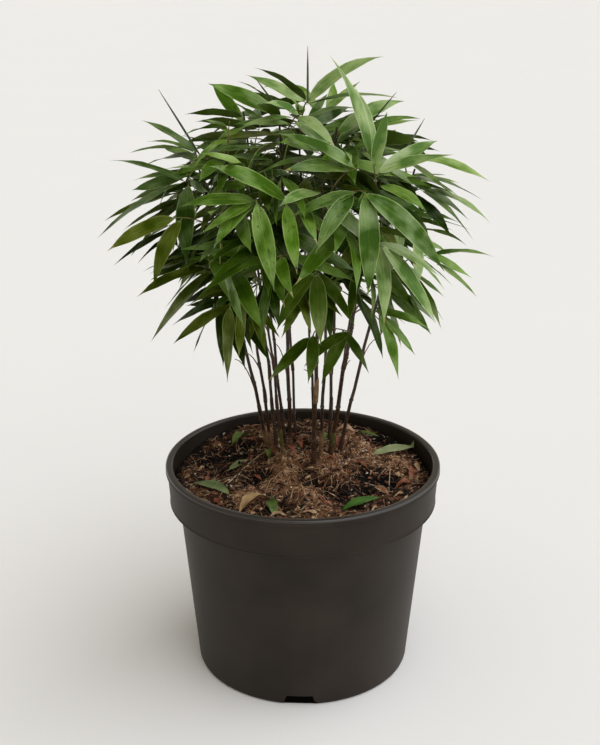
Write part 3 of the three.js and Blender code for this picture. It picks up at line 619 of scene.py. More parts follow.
# The leaves of any other spray: one ahead and the rest to the left and right, lower and lower.
def ruledFan(spray, draw, rule):
    at = spray["at"]
    out = atan2(at[1] - centre[1], at[0] - centre[0]) / degrees
    bearing = out + fanRule["bearing"] * (draw() - 0.5)
    ahead = direction(bearing, sprayPitch(at[2]) + fanRule["pitch"] * (draw() - 0.5))
    aside = direction(bearing + 90, fanRule["tilt"] * (draw() - 0.5))
    hand = -1 if draw() < 0.5 else 1
    fan = []
    for k in range(int(between(*rule["leaves"], draw()))):
        side = hand if k % 2 else -hand
        wide = fanRule["firstSpread"] + fanRule["nextSpread"] * k + fanRule["spreadJitter"] * (draw() - 0.5)
        angle = wide * degrees if k else 0
        along = ahead * cos(angle) + aside * (side * sin(angle))
        along[2] -= fanRule["droop"] * k
        length = between(*rule["lengths"], draw()) * (1 - fanRule["shrink"] * k)
        fan.append({"along": unit(along), "length": length, "roll": fanRule["roll"] * (draw() - 0.5)})
    return fan


def turnAbout(vector, axis, angle):
    c, s = cos(angle), sin(angle)
    return vector * c + np.cross(axis, vector) * s + axis * ((axis @ vector) * (1 - c))


# The side that a leaf shows: up and outwards, square to the leaf, then rolled.
def leafFace(root, along, roll):
    out = unit(np.array([root[0] - centre[0], root[1] - centre[1], 0]))
    face = upward + leafRule["outward"] * out
    face = unit(face - along * (face @ along))
    return turnAbout(face, along, roll * degrees)


# Ways to turn a leaf, by roll and by lift, until it is clear of the others.
turns = [[0, 0], [24, 0], [-24, 0], [0, 9], [0, -9], [34, 9], [-34, -9], [50, -16], [-50, 16]]


def turnedLeaf(root, plan, roll, lift):
    face = leafFace(root, plan["along"], plan["roll"] + roll)
    along = unit(plan["along"] * cos(lift * degrees) + face * sin(lift * degrees))
    face = unit(face - along * (face @ along))
    return {"root": root, "along": along, "face": face, "length": plan["length"]}


# The leaf cut to its share of the crown's outline, or nothing where too little is left.
def fitted(leaf, rule):
    length = leaf["length"]
    while length >= rule["shortest"]:
        if outlineShare(leaf["root"] + leaf["along"] * length) <= rule["reach"]:
            return {**leaf, "length": length}
        length -= leafRule["trim"]


stems = [makeStem(index, *plan) for index, plan in enumerate(culms)]
stemMarks = np.array([
    [stemPoint(s, between(s["neckHeight"] - 20, s["topHeight"], i / 12)) for i in range(13)] for s in stems
])
twigs, spikes, leaves, inView = [], [], [], []
# The front view in millimetres, and a leaf's places in it: how far along and how wide for its width.
sight = {
    "eye": np.array([-2.7, -1128.7, 714.7]),
    "gaze": unit(np.array([0, 1128.7, -422.0])),
    "distance": 1200,
    "overlap": 0.75,
    "marks": [(0.1, 0.45), (0.22, 0.9), (0.36, 1), (0.5, 0.9), (0.64, 0.7), (0.78, 0.4), (0.92, 0.12)],
}


def stemDistances(point):
    return np.linalg.norm(stemMarks - point, axis=2).min(1)


# A leaf's places as the front view shows them: aside, up, how near, and half its width there.
def seenMarks(leaf):
    alongs, shares = zip(*sight["marks"])
    places = np.array([leaf["root"] + leaf["along"] * leaf["length"] * t for t in alongs]) - sight["eye"]
    near = places @ sight["gaze"]
    aside, up = places[:, 0] / near, places @ np.cross([1.0, 0, 0], sight["gaze"]) / near
    wide = np.array(shares) * leafRule["width"] * leaf["length"] / 2
    return np.stack([aside * sight["distance"], up * sight["distance"], near, wide], 1)


# The leaves in full view stay so: no other leaf grows in front of them.
def hidesView(leaf, spray):
    if "inView" in spray or not inView:
        return False
    own, kept = seenMarks(leaf), np.vstack(inView)
    away = np.hypot(own[:, None, 0] - kept[None, :, 0], own[:, None, 1] - kept[None, :, 1])
    close = away < sight["overlap"] * (own[:, None, 3] + kept[None, :, 3])
    return bool((close & (own[:, None, 2] < kept[None, :, 2])).any())


def growLeaf(spray, order, plan, rule):
    root = backAlong(spray["path"], 1 + order * leafRule["spacing"])
    count = taken["count"]
    ownTwig = (taken["spray"][:count] == spray["number"]) & ~taken["isLeaf"][:count]
    for roll, lift in turns:
        leaf = turnedLeaf(root, plan, roll, lift)
        if "inView" not in spray:
            leaf = fitted(leaf, rule)
        if leaf is None or hidesView(leaf, spray):
            continue
        away = stemDistances(leaf["root"] + leafRule["widest"] * leaf["length"] * leaf["along"])
        others = np.delete(away, spray["mass"])
        if not (away[spray["mass"]] < others + crown["spaceMargin"]).all():
            continue
        kept = leafHull(leaf, rule["room"])
        if isFree(kept, ownTwig):
            takeRoom(kept, True, spray["mass"], spray["number"])
            leaves.append({**leaf, "spray": spray["number"], "order": order})
            if "inView" in spray:
                inView.append(seenMarks(leaf))
            return


def growSpray(spray, fan, rule):
    for order, plan in enumerate(fan):
        growLeaf(spray, order, plan, rule)


def twigCurve(start, end, steps):
    way = end - start
    lift = twig["arch"] * np.linalg.norm(way)
    bend = start + np.array([twig["out"] * way[0], twig["out"] * way[1], twig["up"] * way[2] + lift])
    shares = [i / steps for i in range(steps + 1)]
    return [start * (1 - t) ** 2 + bend * 2 * t * (1 - t) + end * t * t for t in shares]


# Grows a twig from a limb to the place of a spray, if it is clear of all but its own.
def reachSpray(spray, start, mass, own, rule, kind):
    points = twigCurve(start, spray["at"], twig["steps"])
    radii = [between(*rule["hullRadii"], i / twig["steps"]) for i in range(len(points))]
    rooms = limbHulls(points, radii)
    if not all(isFree(room, own) for room in rooms):
        return False
    for room in rooms:
        takeRoom(room, False, mass, spray["number"])
    spray.update(mass=mass, path=points)
    twigs.append((start, spray["at"], mass, kind))
    return True


# Tries one of the nearest stems after the other, each from a few heights.
def growTwig(spray):
    at = spray["at"]
    away = stemDistances(at)
    for index in np.argsort(away, kind="stable")[:2]:
        stem = stems[index]
        lowest, highest = stem["neckHeight"] + twig["stub"], stem["topHeight"] - twig["stub"]
        for lower in twig["lowerStarts"]:
            wanted = at[2] - twig["rise"] - twig["riseByDistance"] * away[index] - lower
            start = stemPoint(stem, min(highest, max(lowest, wanted)))
            count = taken["count"]
            own = (taken["mass"][:count] == index) & ~taken["isLeaf"][:count]
            if reachSpray(spray, start, int(index), own, twig, 1):
                return True
    return False


def domeSites(domes, seed, places, closest):
    golden = 180 * (3 - sqrt(5))
    for scale, sprays, highest, lowest in domes:
        for i in range(sprays):
            draw = seeded(seed)
            seed += 1
            height = between(highest, lowest, (i + 0.5) / sprays)
            size = scale * between(*crown["scaleJitter"], draw())
            around = direction(i * golden + crown["turnJitter"] * draw(), asin(height) / degrees)
            drop = crown["twigReach"][2] if height > 0 else crown["twigDrop"]
            at = centre + size * np.array([*crown["twigReach"][:2], drop]) * around
            if all(np.linalg.norm(place["at"] - at) >= closest for place in places):
                places.append({"at": at})


def numberSprays(sprays):
    for number, spray in enumerate(sprays):
        spray["number"] = number


# The crown of the solids: the same twigs and leaves, in the same order.
def growCrown():
    for stem in stems:
        low = [between(compost["edge"], stem["neckHeight"], share) for share in (0, 0.35, 0.7, 1)]
        whole = [stemPoint(stem, z) for z in low] + leafyStemPoints(stem)
        for room in limbHulls(whole, [stemRadius(stem, point[2]) for point in whole]):
            takeRoom(room, False, stem["index"], -1)
    places = []
    for at, fan, tone, *rolled in frontSprays:
        at = np.array(at, float)
        places.append({"at": at, "leaves": fan, "tone": tone, "rolled": rolled, "inView": True})
    for stem in stems:
        top = stemPoint(stem, stem["topHeight"])
        places.append({"at": top, "mass": stem["index"], "path": leafyStemPoints(stem)})
    domeSites(crown["domes"], seeds["places"], places, crown["closest"])
    numberSprays(places)
    grown = [spray for spray in places if "mass" in spray or growTwig(spray)]
    for spray in grown:
        for slant, lean, length in spray.get("rolled", []):
            along = frontDirection(slant, lean)
            start = spray["at"] - along * spike["sunk"]
            points = [start + along * share * length for share in (0, 0.5, 1)]
            for room in limbHulls(points, spike["radii"]):
                takeRoom(room, False, spray["mass"], spray["number"])
            spikes.append((start, along, length))
    for order, spray in enumerate(grown):
        ruled = "inView" not in spray
        draw = seeded(seeds["leaves"] + order)
        growSpray(spray, ruledFan(spray, draw, leafRule) if ruled else frontFan(spray), leafRule)
    return places, grown


# Finer twigs from the limbs that stand, each with its own small spray, by the same rule.
def growFiner(places):
    limbs = []
    for stem in stems:
        heights = np.arange(stem["neckHeight"] - fine["fromNeck"], stem["topHeight"], fine["stemStep"])
        limbs += [(stemPoint(stem, z), stem["index"]) for z in heights]
    for start, end, mass, kind in twigs:
        limbs += [(point, mass) for point in twigCurve(start, end, fine["twigSteps"])[2:]]
    marks = np.array([point for point, mass in limbs])
    sites = list(places)
    domeSites(fine["domes"], seeds["fine"], sites, fine["closest"])
    sites += [{"at": np.array(at, float)} for at in fine["core"]]
    numberSprays(sites)
    for offset, spray in enumerate(sites[len(places):]):
        away = np.linalg.norm(marks + np.array([0, 0, fine["startsBelow"]]) - spray["at"], axis=1)
        away[np.linalg.norm(marks - spray["at"], axis=1) < fine["nearest"]] = 1e9
        nearest = int(np.argmin(away))
        if away[nearest] > fine["furthest"]:
            continue
        own = ~taken["isLeaf"][:taken["count"]]
        if reachSpray(spray, marks[nearest], limbs[nearest][1], own, fine, 2):
            growSpray(spray, ruledFan(spray, seeded(seeds["fineLeaves"] + offset), fine), fine)
    return sites


# Rolled leaves seen against the sky: about where each starts and where its tip is.
rolledTips = [
    ([-38, -30, 537], [-40, -32, 566]), ([56, -30, 514], [78, -30, 554]), ([89, 0, 508], [105, 0, 527]),
]

# Thin shoots from the canes below the crown: the cane, the height of the joint and the tip.
sideShoots = [
    (0, 236, [-65, 36, 293]), (1, 284, [-54, 26, 303]), (4, 262, [-44, 36, 318]),
    (5, 272, [-26, 14, 316]), (7, 265, [1, 50, 277]), (11, 256, [44, 8, 302]),
    (12, 250, [44, 40, 293]), (10, 262, [40, 62, 314]), (13, 258, [70, 30, 316]),
]

places, grown = growCrown()
plainCount = len(leaves)
sites = growFiner(places)
ends = np.array([spray["at"] for spray in grown])
for base, tip in rolledTips:
    start = ends[np.linalg.norm(ends - np.array(base), axis=1).argmin()]
    way = np.array(tip, float) - start
    spikes.append((start, unit(way), np.linalg.norm(way)))
for index, height, tip in sideShoots:
    twigs.append((stemPoint(stems[index], height), np.array(tip, float), index, 0))
print(f"growth: {plainCount} leaves as in the solids, {len(leaves)} in all, {len(twigs)} twigs")


# Leaves, modelled once as stations along the blade and set on each place

blade = {
    "stations": [
        (0.0, 0.07), (0.035, 0.06), (0.07, 0.32), (0.13, 0.64), (0.22, 0.88), (0.33, 0.99),
        (0.45, 1.0), (0.58, 0.91), (0.7, 0.73), (0.81, 0.46), (0.89, 0.2), (0.94, 0.08),
    ],
    "widths": (0.2, 0.25), "arch": (0.01, 0.06), "droop": (0, 0.2), "sweep": 0.03, "twist": 34,
    "fold": (0.08, 0.32), "ripple": 0.55, "rib": 0.34, "thickness": 0.32, "dryFrom": 10, "dryOdds": 0.16,
}
fillBlade = {**blade, "widths": (0.16, 0.215)}
# Each spray's green, deep to bright, and how strong its sheen is, from the crown's shaded inside to its top:
# painted shade and light, darker and duller inside, paler and shinier at the top. A leaf's midrib takes the
# next paler one.
tones = {
    "pine": (0x1D2B07, 0x2C3E0B, 0.05),
    "moss": (0x304409, 0x475D12, 0.1),
    "olive": (0x3A4809, 0x596614, 0.15),
    "fern": (0x3A560B, 0x56771A, 0.22),
    "slate": (0x2E4610, 0x4D6A22, 0.32),
    "willow": (0x39561A, 0x638131, 0.44),
    "meadow": (0x436317, 0x6B8E2A, 0.36),
    "leafy": (0x5A7A26, 0x88A646, 0.42),
    "sage": (0x567638, 0x8EA85C, 0.5),
    "lime": (0x4E7A16, 0x7CA22C, 0.32),
}
lightToneRule = {"base": 0.06, "outer": 0.6, "high": 0.4, "right": 0.45, "jitter": 0.6, "limeOdds": 0.05}
stalkSlot, underSlot, drySlot = len(tones), len(tones) + 1, len(tones) + 2


# Five points at each station: the two edges, the two sides of the midrib and the underside. The
# pattern's place is in centimetres across the blade and in blades along it.
def leafForm(leaf, draw, style):
    root, along, face, length = leaf["root"], leaf["along"], leaf["face"], leaf["length"]
    across = np.cross(face, along)
    half = between(*style["widths"], draw()) * length / 2
    arch, droop = between(*style["arch"], draw()), between(*style["droop"], draw())
    sweep, twist = style["sweep"] * (2 * draw() - 1), style["twist"] * (2 * draw() - 1)
    fold = between(*style["fold"], draw())
    phase, shift = 2 * pi * draw(), 60 * draw()
    points, uvs = [], []

    def middleAt(t):
        risen = root + along * (length * t) + face * (length * (4 * arch * t * (1 - t)))
        risen = risen + upward * (length * droop * (t - t**3) * 0.6)
        return risen + across * (length * sweep * sin(pi * t))

    for t, share in style["stations"]:
        middle = middleAt(t)
        turn = twist * degrees * (t - 0.3)
        side = across * cos(turn) + face * sin(turn)
        up = face * cos(turn) - across * sin(turn)
        wide = max(half * share, 0.5)
        rib = min(style["rib"] * (1.15 - t), 0.4 * wide)
        folded = fold * (1 - 0.6 * t) * wide
        ripple = style["ripple"] * sin(13 * t + phase) * share
        points += [
            middle + side * wide + up * (folded + ripple),
            middle + side * rib,
            middle - side * rib,
            middle - side * wide + up * (folded - ripple),
            middle - up * style["thickness"] * min(1, 0.3 + share),
        ]
        uvs += [(edge, shift + t) for edge in (wide / 10, rib / 10, -rib / 10, -(wide / 10), 0)]
    points.append(middleAt(1))
    uvs.append((0, shift + 1))
    return np.array(points), np.array(uvs)


# Each quad starts at the blade's edge, so that top and underside are split alike and never cross.
def bladeFaces(style=blade):
    last = 5 * len(style["stations"]) - 5
    faces = [[4, 3, 2, 1, 0]]
    for low in range(0, last, 5):
        high = low + 5
        faces += [
            [low, low + 1, high + 1, high],
            [low + 1, low + 2, high + 2, high + 1],
            [low + 3, high + 3, high + 2, low + 2],
            [low + 3, low + 4, high + 4, high + 3],
            [low, high, high + 4, low + 4],
        ]
    return faces + [[last + (k + 1) % 5, last + 5, last + k] for k in range(5)]


# The stalk, then strip by strip the blade with its rib and underside, and the tip.
def bladeSlots(tone, dry):
    strips, stalkStrips = len(blade["stations"]) - 1, 2
    green = blade["dryFrom"] if dry else strips
    strip = [tone, min(tone + 1, len(tones) - 1), tone, underSlot, underSlot]
    slots = [stalkSlot] * (1 + 5 * stalkStrips) + strip * (green - stalkStrips)
    return slots + [drySlot] * 5 * (strips - green) + [drySlot if dry else tone] * 5


# A spray's green is painted light and shade: paler the further out, the higher and the more to the lit side
# it grows.
def pickToneByLight(at, draw):
    if draw() < lightToneRule["limeOdds"]:
        return "lime"
    high, right = (at[2] - centre[2]) / crown["outline"][2], (at[0] - centre[0]) / crown["outline"][0]
    place = lightToneRule["base"] + lightToneRule["outer"] * outlineShare(at) ** 2 + lightToneRule["high"] * high
    place += lightToneRule["right"] * max(right, 0.3 * right) + lightToneRule["jitter"] * (draw() - 0.3)
    ruled = len(tones) - 1      # all but lime
    return list(tones)[min(ruled - 1, max(0, int(ruled * place)))]


# A rough ball of 20 faces, for crumbs and drops
crumbCorners = np.array([
    [0, 0, 1], [0.894, 0, 0.447], [0.276, 0.851, 0.447], [-0.724, 0.526, 0.447], [-0.724, -0.526, 0.447],
    [0.276, -0.851, 0.447], [0.724, 0.526, -0.447], [-0.276, 0.851, -0.447], [-0.894, 0, -0.447],
    [-0.276, -0.851, -0.447], [0.724, -0.526, -0.447], [0, 0, -1],
])
around = [(k, (k + 1) % 5) for k in range(5)]
crumbFaces = [[0, k + 1, n + 1] for k, n in around] + [[k + 1, k + 6, n + 1] for k, n in around]
crumbFaces += [[k + 6, n + 6, n + 1] for k, n in around] + [[11, n + 6, k + 6] for k, n in around]
dew = {"sprays": [3, 4, 5], "drops": 55, "sizes": (0.4, 1.15), "height": 0.5}


# Drops on a leaf's upper side, each on one of the strips between edge and midrib.
def addDew(heap, points, leaf, draw):
    for index in range(dew["drops"]):
        ring = 5 * (2 + int(8.99 * draw()))
        edge, rib = (0, 1) if draw() < 0.5 else (3, 2)
        aside, ahead = between(0.08, 0.92, draw()), draw()
        low = between(points[ring + edge], points[ring + rib], aside)
        high = between(points[ring + 5 + edge], points[ring + 5 + rib], aside)
        drop = crumbCorners * between(*dew["sizes"], draw() ** 2)
        drop = drop + leaf["face"] * (drop @ leaf["face"])[:, None] * (dew["height"] - 1)
        addToHeap(heap, drop + between(low, high, ahead), crumbFaces, 0)


# After the blades' greens come the paler stalk, the duller underside and the dried, straw-like tip.
leafMaterials = [leafBlade("bambooLeaf_" + name, *look) for name, look in tones.items()] + [
    leafBlade("leafStalk", 0x566A2A, 0x6F8440, 0.2, 0.5),
    leafBlade("leafUnderside", 0x44581C, 0x566A28, 0.1, 0.6),
    leafBlade("driedLeafTip", 0x868445, 0x9E9A62, 0.2, 0.7),
]
toneSlots = {name: [bladeSlots(slot, dry) for dry in (False, True)] for slot, name in enumerate(tones)}
for number, spray in enumerate(sites):
    spray["tone"] = spray.get("tone") or pickToneByLight(spray["at"], seeded(seeds["looks"] + number))
leafHeap, dewHeap = newHeap(), newHeap()
for index, leaf in enumerate(leaves):
    spray = sites[leaf["spray"]]
    draw = seeded(seeds["blades"] + index)
    points, uvs = leafForm(leaf, draw, blade if "inView" in spray else fillBlade)
    tone = spray["tone"] if isinstance(spray["tone"], str) else spray["tone"][leaf["order"]]
    addToHeap(leafHeap, points, bladeFaces(), toneSlots[tone][draw() < blade["dryOdds"]], uvs)
    leafHeap["edges"] += [1, 0, 0, 1, 0] * len(blade["stations"]) + [1]
    if leaf["spray"] in dew["sprays"]:
        addDew(dewHeap, points, leaf, seeded(seeds["dew"] + index))
masses = [f"foliage_{i + 1:02d}" for i in range(len(culms))]
leafCount = heapPiece(leafHeap, "bambooLeaves", leafMaterials, 50, masses)
dewCount = heapPiece(dewHeap, "dewDrops", [dewWater()], 80)
print(f"leaves: {leafCount} faces, dew: {dewCount} faces")


# Twigs and rolled leaves


def addTube(heap, points, radii, sides, slot=0):
    ring = [
        point + radius * (cos(2 * pi * k / sides) * across + sin(2 * pi * k / sides) * over)
        for point, radius, (across, over) in zip(points, radii, ringFrames(points))
        for k in range(sides)
    ]
    faces = [list(range(sides))]
    last = (len(points) - 1) * sides
    for i in range(0, last, sides):
        faces += [
            [i + k, i + sides + k, i + sides + (k + 1) % sides, i + (k + 1) % sides] for k in range(sides)
        ]
    faces.append([last + k for k in reversed(range(sides))])
    addToHeap(heap, np.array(ring), faces, slot)


# The radii at start and tip by kind: the canes' side shoots, the twigs and the fine twigs.
shoot = {"radii": [(0.75, 0.35), (0.8, 0.45), (0.5, 0.35)], "steps": 7, "sides": 5}
twigHeap = newHeap()
for start, end, mass, kind in twigs:
    radii = [between(*shoot["radii"][kind], i / shoot["steps"]) for i in range(shoot["steps"] + 1)]
    addTube(twigHeap, twigCurve(start, end, shoot["steps"]), radii, shoot["sides"], kind)
# Twigs have smooth bark with a dull shine: woody brown on the canes, fresh green where they are fine.
heapPiece(twigHeap, "twigs", [
    ("woodyBambooTwig", 0x3A2A1B, 0x6B5232, 7, 0.5),
    ("greenBrownBambooTwig", 0x4C4420, 0x837944, 7, 0.5),
    ("youngBambooTwig", 0x5E6C30, 0x94A258, 7, 0.5),
])

# A rolled leaf's radius at shares of its length.
rolled = {"shares": [0, 0.2, 0.45, 0.7, 0.9, 1], "radii": [0.7, 1.0, 0.95, 0.7, 0.35, 0.15], "sides": 6}
spikeHeap = newHeap()
for start, along, length in spikes:
    points = [start + along * length * t for t in rolled["shares"]]
    addTube(spikeHeap, points, rolled["radii"], rolled["sides"])
# A young leaf that is still rolled up is a smooth, dark grey-green.
heapPiece(spikeHeap, "rolledLeaves", [("rolledYoungLeaf", 0x33402A, 0x57623F, 8, 0.45)])


# Canes: each from its foot to the top of its leafy stem, with a raised ring at every joint

# The joint's form: how far above the joint, and the radius as a share of the cane's. The tip stays
# bare of joints, and a joint looks paler from a little under it to a little over it.
cane = {
    "joint": [
        (-4.5, 1), (-2, 1.04), (-1.3, 0.94), (-0.7, 1.2), (0, 1.28), (0.8, 1.22), (1.6, 1.02), (12, 0.97),
    ],
    "bare": 6, "paleUnder": 1.4, "paleOver": 0.5,
}
sheath = {
    "lengths": (14, 30), "steps": 6, "room": 0.35, "joints": 4, "odds": 0.62, "oddsLoss": 0.12,
    "openFrom": 0.6, "opening": 0.7, "sides": 9,
}


def caneRings(stem):
    rings = [(stem["footHeight"], 1)]
    z = stem["footHeight"] + stem["firstJoint"]
    while z < stem["topHeight"] - cane["bare"]:
        rings += [(z + above, swelling) for above, swelling in cane["joint"]]
        z += culm["internode"]
    rings += [(stem["topHeight"] - 1, 0.9), (stem["topHeight"], 0.4)]
    return [(*stemPoint(stem, z), stemRadius(stem, z) * swelling) for z, swelling in rings]


# Bamboo cane: dark brown, in streaks 1.1 mm wide along it, and hard and smooth, so with a soft
# sheen. The rings at its joints are paler and rougher.
caneMaterial = noiseMaterial(
    "darkBambooCane",
    {"Roughness": 0.38, "Specular IOR Level": 0.36},
    {"Scale": 900, "Detail": 4, "Roughness": 0.6},
    [(0.3, 0x1A1008), (0.5, 0x352216), (0.72, 0x624830)],
    (0.25, 0.2),
    (1, 1, 0.04),
)
jointMaterial = litterMaterial("caneJointRing", 0x2C2019, 0x6B5644, 2, 0.6)
for stem in stems:
    number = f"{stem['index'] + 1:02d}"
    piece = extrudeRings(caneRings(stem), culm["sides"])
    finishPiece(piece, "cane_" + number, [caneMaterial, jointMaterial], 50, ["culm_" + number])
    for polygon in piece.data.polygons:
        above = (polygon.center.z / mm - stem["footHeight"] - stem["firstJoint"]) % culm["internode"]
        if above > culm["internode"] - cane["paleUnder"] or above < cane["paleOver"]:
            polygon.material_index = 1

# Papery sheaths: each wraps a cane from a joint upwards and stands off a little at its tip.
sheathHeap = newHeap()
draw = seeded(seeds["sheaths"])
for stem in stems:
    for joint in range(-1, sheath["joints"]):
        length, lean, odd, kind = between(*sheath["lengths"], draw()), 2 * pi * draw(), draw(), draw()
        if joint >= 0 and odd > sheath["odds"] - sheath["oddsLoss"] * joint:
            continue
        low = stem["footHeight"] + (stem["firstJoint"] + culm["internode"] * joint if joint >= 0 else 3)
        points, radii = [], []
        for k in range(sheath["steps"] + 1):
            share = k / sheath["steps"]
            off = sheath["opening"] * max(0, share - sheath["openFrom"])
            point = stemPoint(stem, low + length * share)
            points.append(point + np.array([cos(lean), sin(lean), 0]) * off)
            thick = stemRadius(stem, low + length * share) + sheath["room"] * (1.5 - share)
            radii.append(thick if k < sheath["steps"] else 0.5 * thick)
        addTube(sheathHeap, points, radii, sheath["sides"], int(2.99 * kind))
# Sheaths are dry and papery: brown, tan or still greenish, with hardly a shine.
heapPiece(sheathHeap, "culmSheaths", [
    ("culmSheathBrown", 0x2C1C11, 0x543825, 5, 0.6),
    ("culmSheathTan", 0x58402A, 0x8C6C4A, 5, 0.6),
    ("culmSheathGreenish", 0x38361A, 0x66602F, 5, 0.55),
], 40)
print("canes:", len(stems))


# Pot: a circle extruded up the outside, over the rim and down the inside

# The profile is (radius, height): the foot, the wall, the band with its bead, the rim, the inside.
pot = {
    "sides": 144,
    "profile": [
        (99, 0), (100.9, 0.35), (102.05, 1.5), (102.8, 3.5),
        (117.85, 165.5), (118.6, 167),
        (124.9, 167), (126.3, 167.3), (126.85, 167.9), (126.8, 168.6), (126.35, 169.3), (128.2, 197.7),
        (128.4, 198.6), (129.5, 198.7), (130, 199.3), (130, 202.8), (129.65, 204), (128.8, 204.8),
        (127.8, 205), (125.4, 205), (124.1, 204.75), (123.3, 204), (123, 202.8),
        (122.4, 168), (115.7, 163), (100.2, 9),
    ],
    "lip": 202.6,
    "channel": {"mouth": 31, "roof": 24, "height": 10.2, "from": 99.2, "to": 108, "below": 3},
    "drainBearings": [-91.7, -1.7, 88.3, 178.3],
    "hole": {"radius": 5, "at": 88, "top": 7.6},
}


def cutAway(piece, cutter):
    applyModifier(piece, "BOOLEAN", operation="DIFFERENCE", solver="EXACT", object=cutter)
    bpy.data.objects.remove(cutter)


# At each drain, a channel under the foot that widens downwards and a round hole further in.
def cutDrains(piece):
    channel, hole = pot["channel"], pot["hole"]
    flare = (channel["mouth"] - channel["roof"]) / channel["height"]
    for bearing in pot["drainBearings"]:
        outward = Vector((cos(bearing * degrees), sin(bearing * degrees), 0))
        place = outward * ((channel["from"] + channel["to"]) / 2) * mm
        deselectAll()
        bpy.ops.mesh.primitive_cube_add(size=1, location=place, rotation=(0, 0, bearing * degrees))
        cutter = bpy.context.object
        for vertex in cutter.data.vertices:
            top = vertex.co.z > 0
            vertex.co.x *= (channel["to"] - channel["from"]) * mm
            vertex.co.y *= (channel["roof"] if top else channel["mouth"] + channel["below"] * flare) * mm
            vertex.co.z = (channel["height"] if top else -channel["below"]) * mm
        cutAway(piece, cutter)
        place = outward * hole["at"] * mm
        place.z = hole["top"] / 2 * mm
        deselectAll()
        bpy.ops.mesh.primitive_cylinder_add(
            vertices=24, radius=hole["radius"] * mm, depth=hole["top"] * mm, location=place
        )
        cutAway(piece, bpy.context.object)


# Whether a face's middle lies in one of the recesses that the drains cut into the foot.
def inDrain(middle):
    channel = pot["channel"]
    for bearing in pot["drainBearings"]:
        c, s = cos(bearing * degrees), sin(bearing * degrees)
        outside = middle.x * c + middle.y * s > channel["from"] - 0.1
        if outside and abs(middle.y * c - middle.x * s) < channel["mouth"] / 2 + 0.1:
            return 0.1 < middle.z < channel["height"] + 0.1
    return False


potShell = extrudeRings([(0, 0, z, radius) for radius, z in pot["profile"]], pot["sides"])
cutDrains(potShell)
finishPiece(potShell, "nurseryPot", [
    polypropylene("mouldedPolypropylene", 0.42, 0.12),
    ("dampPolypropylene", 0x030201, 0x070503, 4, 0.8, 0.03),     # in the drains: near black, painted shade for the dark inside the recesses
    polypropylene("handledPolypropylene", 0.22, 0.6),
], 32, ["pot"])
# The drains' recesses take the near-black material as painted shade, and the lip takes the smoother one.
for polygon in potShell.data.polygons:
    if inDrain(polygon.center / mm):
        polygon.material_index = 1
    elif polygon.center.z > pot["lip"] * mm:
        polygon.material_index = 2
print(f"pot: {len(potShell.data.polygons)} faces")


# Compost: a filled body whose top has clods, crumbs and pits

# The clods are (size of the noise in metres, strength), and the collar is the compost drawn up
# round each cane: (height, width). The back rise is from where, over how far, how high, how curved.
# The painted shade by the wall, which darkens the compost's colour under the rim, is (where it is deepest,
# over how far it ends, how deep it is).
soil = {
    "sides": 240, "rings": 74, "radius": 122.1, "clods": [(0.021, 9.0), (0.008, 4.4), (0.0025, 1.9)],
    "wall": [(98.8, 9.4), (115.2, 163.2), (122.0, 168.6), (122.1, 186)], "top": 189.5, "topFrom": 188,
    "rim": 6, "collar": (2.5, 7), "tuftHeight": 3.4, "pitDepth": 9, "liftRange": 8, "sunk": 2.2,
    "backRise": (25, 85, 7, 1.3), "paintedWallShade": (122, 12, 0.45), "rayFrom": 260,
}
# Tufts of coir and dark pits in the compost: where each lies and how wide it is.
tufts = [
    ([57, 38], 17), ([30, -6], 15), ([-20, -24], 19), ([-8, 8], 12), ([47, 70], 13), ([-55, -50], 12),
    ([6, -46], 14), ([92, 22], 10), ([-36, 84], 14),
]
pits = [
    ([-63, 50], 17), ([63, -10], 15), ([82, -14], 13), ([-44, -12], 13), ([-82, 4], 12), ([14, -26], 9),
    ([-16, 86], 14), ([34, -46], 15), ([72, 74], 12), ([-24, -70], 11), ([-88, 34], 17), ([56, -30], 12),
]


def smoothGround(x, y):
    start, over, high, curve = soil["backRise"]
    return groundHeight(x, y) - soil["sunk"] + high * min(1, max(0, (y - start) / over)) ** curve


def heaped(x, y):
    height = smoothGround(x, y)
    collar, wide = soil["collar"]
    for stem in stems:
        away = hypot(x - stem["foot"][0], y - stem["foot"][1]) / wide
        height += collar * exp(-away * away)
    for heaps, rise in ((tufts, soil["tuftHeight"]), (pits, -soil["pitDepth"])):
        for (px, py), wide in heaps:
            height += rise * exp(-((x - px) ** 2 + (y - py) ** 2) / wide**2)
    return height


levels = soil["wall"] + [
    (soil["radius"] * (1 - i / soil["rings"]), soil["top"]) for i in range(soil["rings"])
]
levels.append((0.6, soil["top"]))
soilBody = extrudeRings([(0, 0, z, radius) for radius, z in levels], soil["sides"])
group = soilBody.vertex_groups.new(name="top")
for vertex in soilBody.data.vertices:
    if vertex.co.z < soil["topFrom"] * mm:
        continue
    x, y = vertex.co.x / mm, vertex.co.y / mm
    vertex.co.z = heaped(x, y) * mm
    inward = (soil["radius"] - hypot(x, y)) / soil["rim"]      # the clods are lower by the wall
    group.add([vertex.index], min(1, max(0.25, inward)), "REPLACE")
for index, (size, strength) in enumerate(soil["clods"]):
    clods = bpy.data.textures.new(f"clods_{index}", "CLOUDS")
    clods.noise_scale = size
    clods.noise_depth = 3
    where = {"texture": clods, "texture_coords": "LOCAL", "direction": "Z", "vertex_group": "top"}
    applyModifier(soilBody, "DISPLACE", strength=strength * mm, mid_level=0.5, **where)
finishPiece(soilBody, "compostSurface", [barkCompost()], 80, ["compost"])
soilMesh = soilBody.data


# How far a place lies over or under the smooth compost: 0 is a deep pit and 1 the top of a clod.
# By the pot's wall it is scaled down, which paints shade there: the compost under the rim is coloured
# darker.
def liftAndWallShade(x, y, z):
    wall, over, deepest = soil["paintedWallShade"]
    inward = min(1, max(0, (wall - hypot(x, y)) / over))
    rise = (z - smoothGround(x, y)) / soil["liftRange"] / 2
    return min(1, max(0, 0.5 + rise)) * between(deepest, 1, inward)


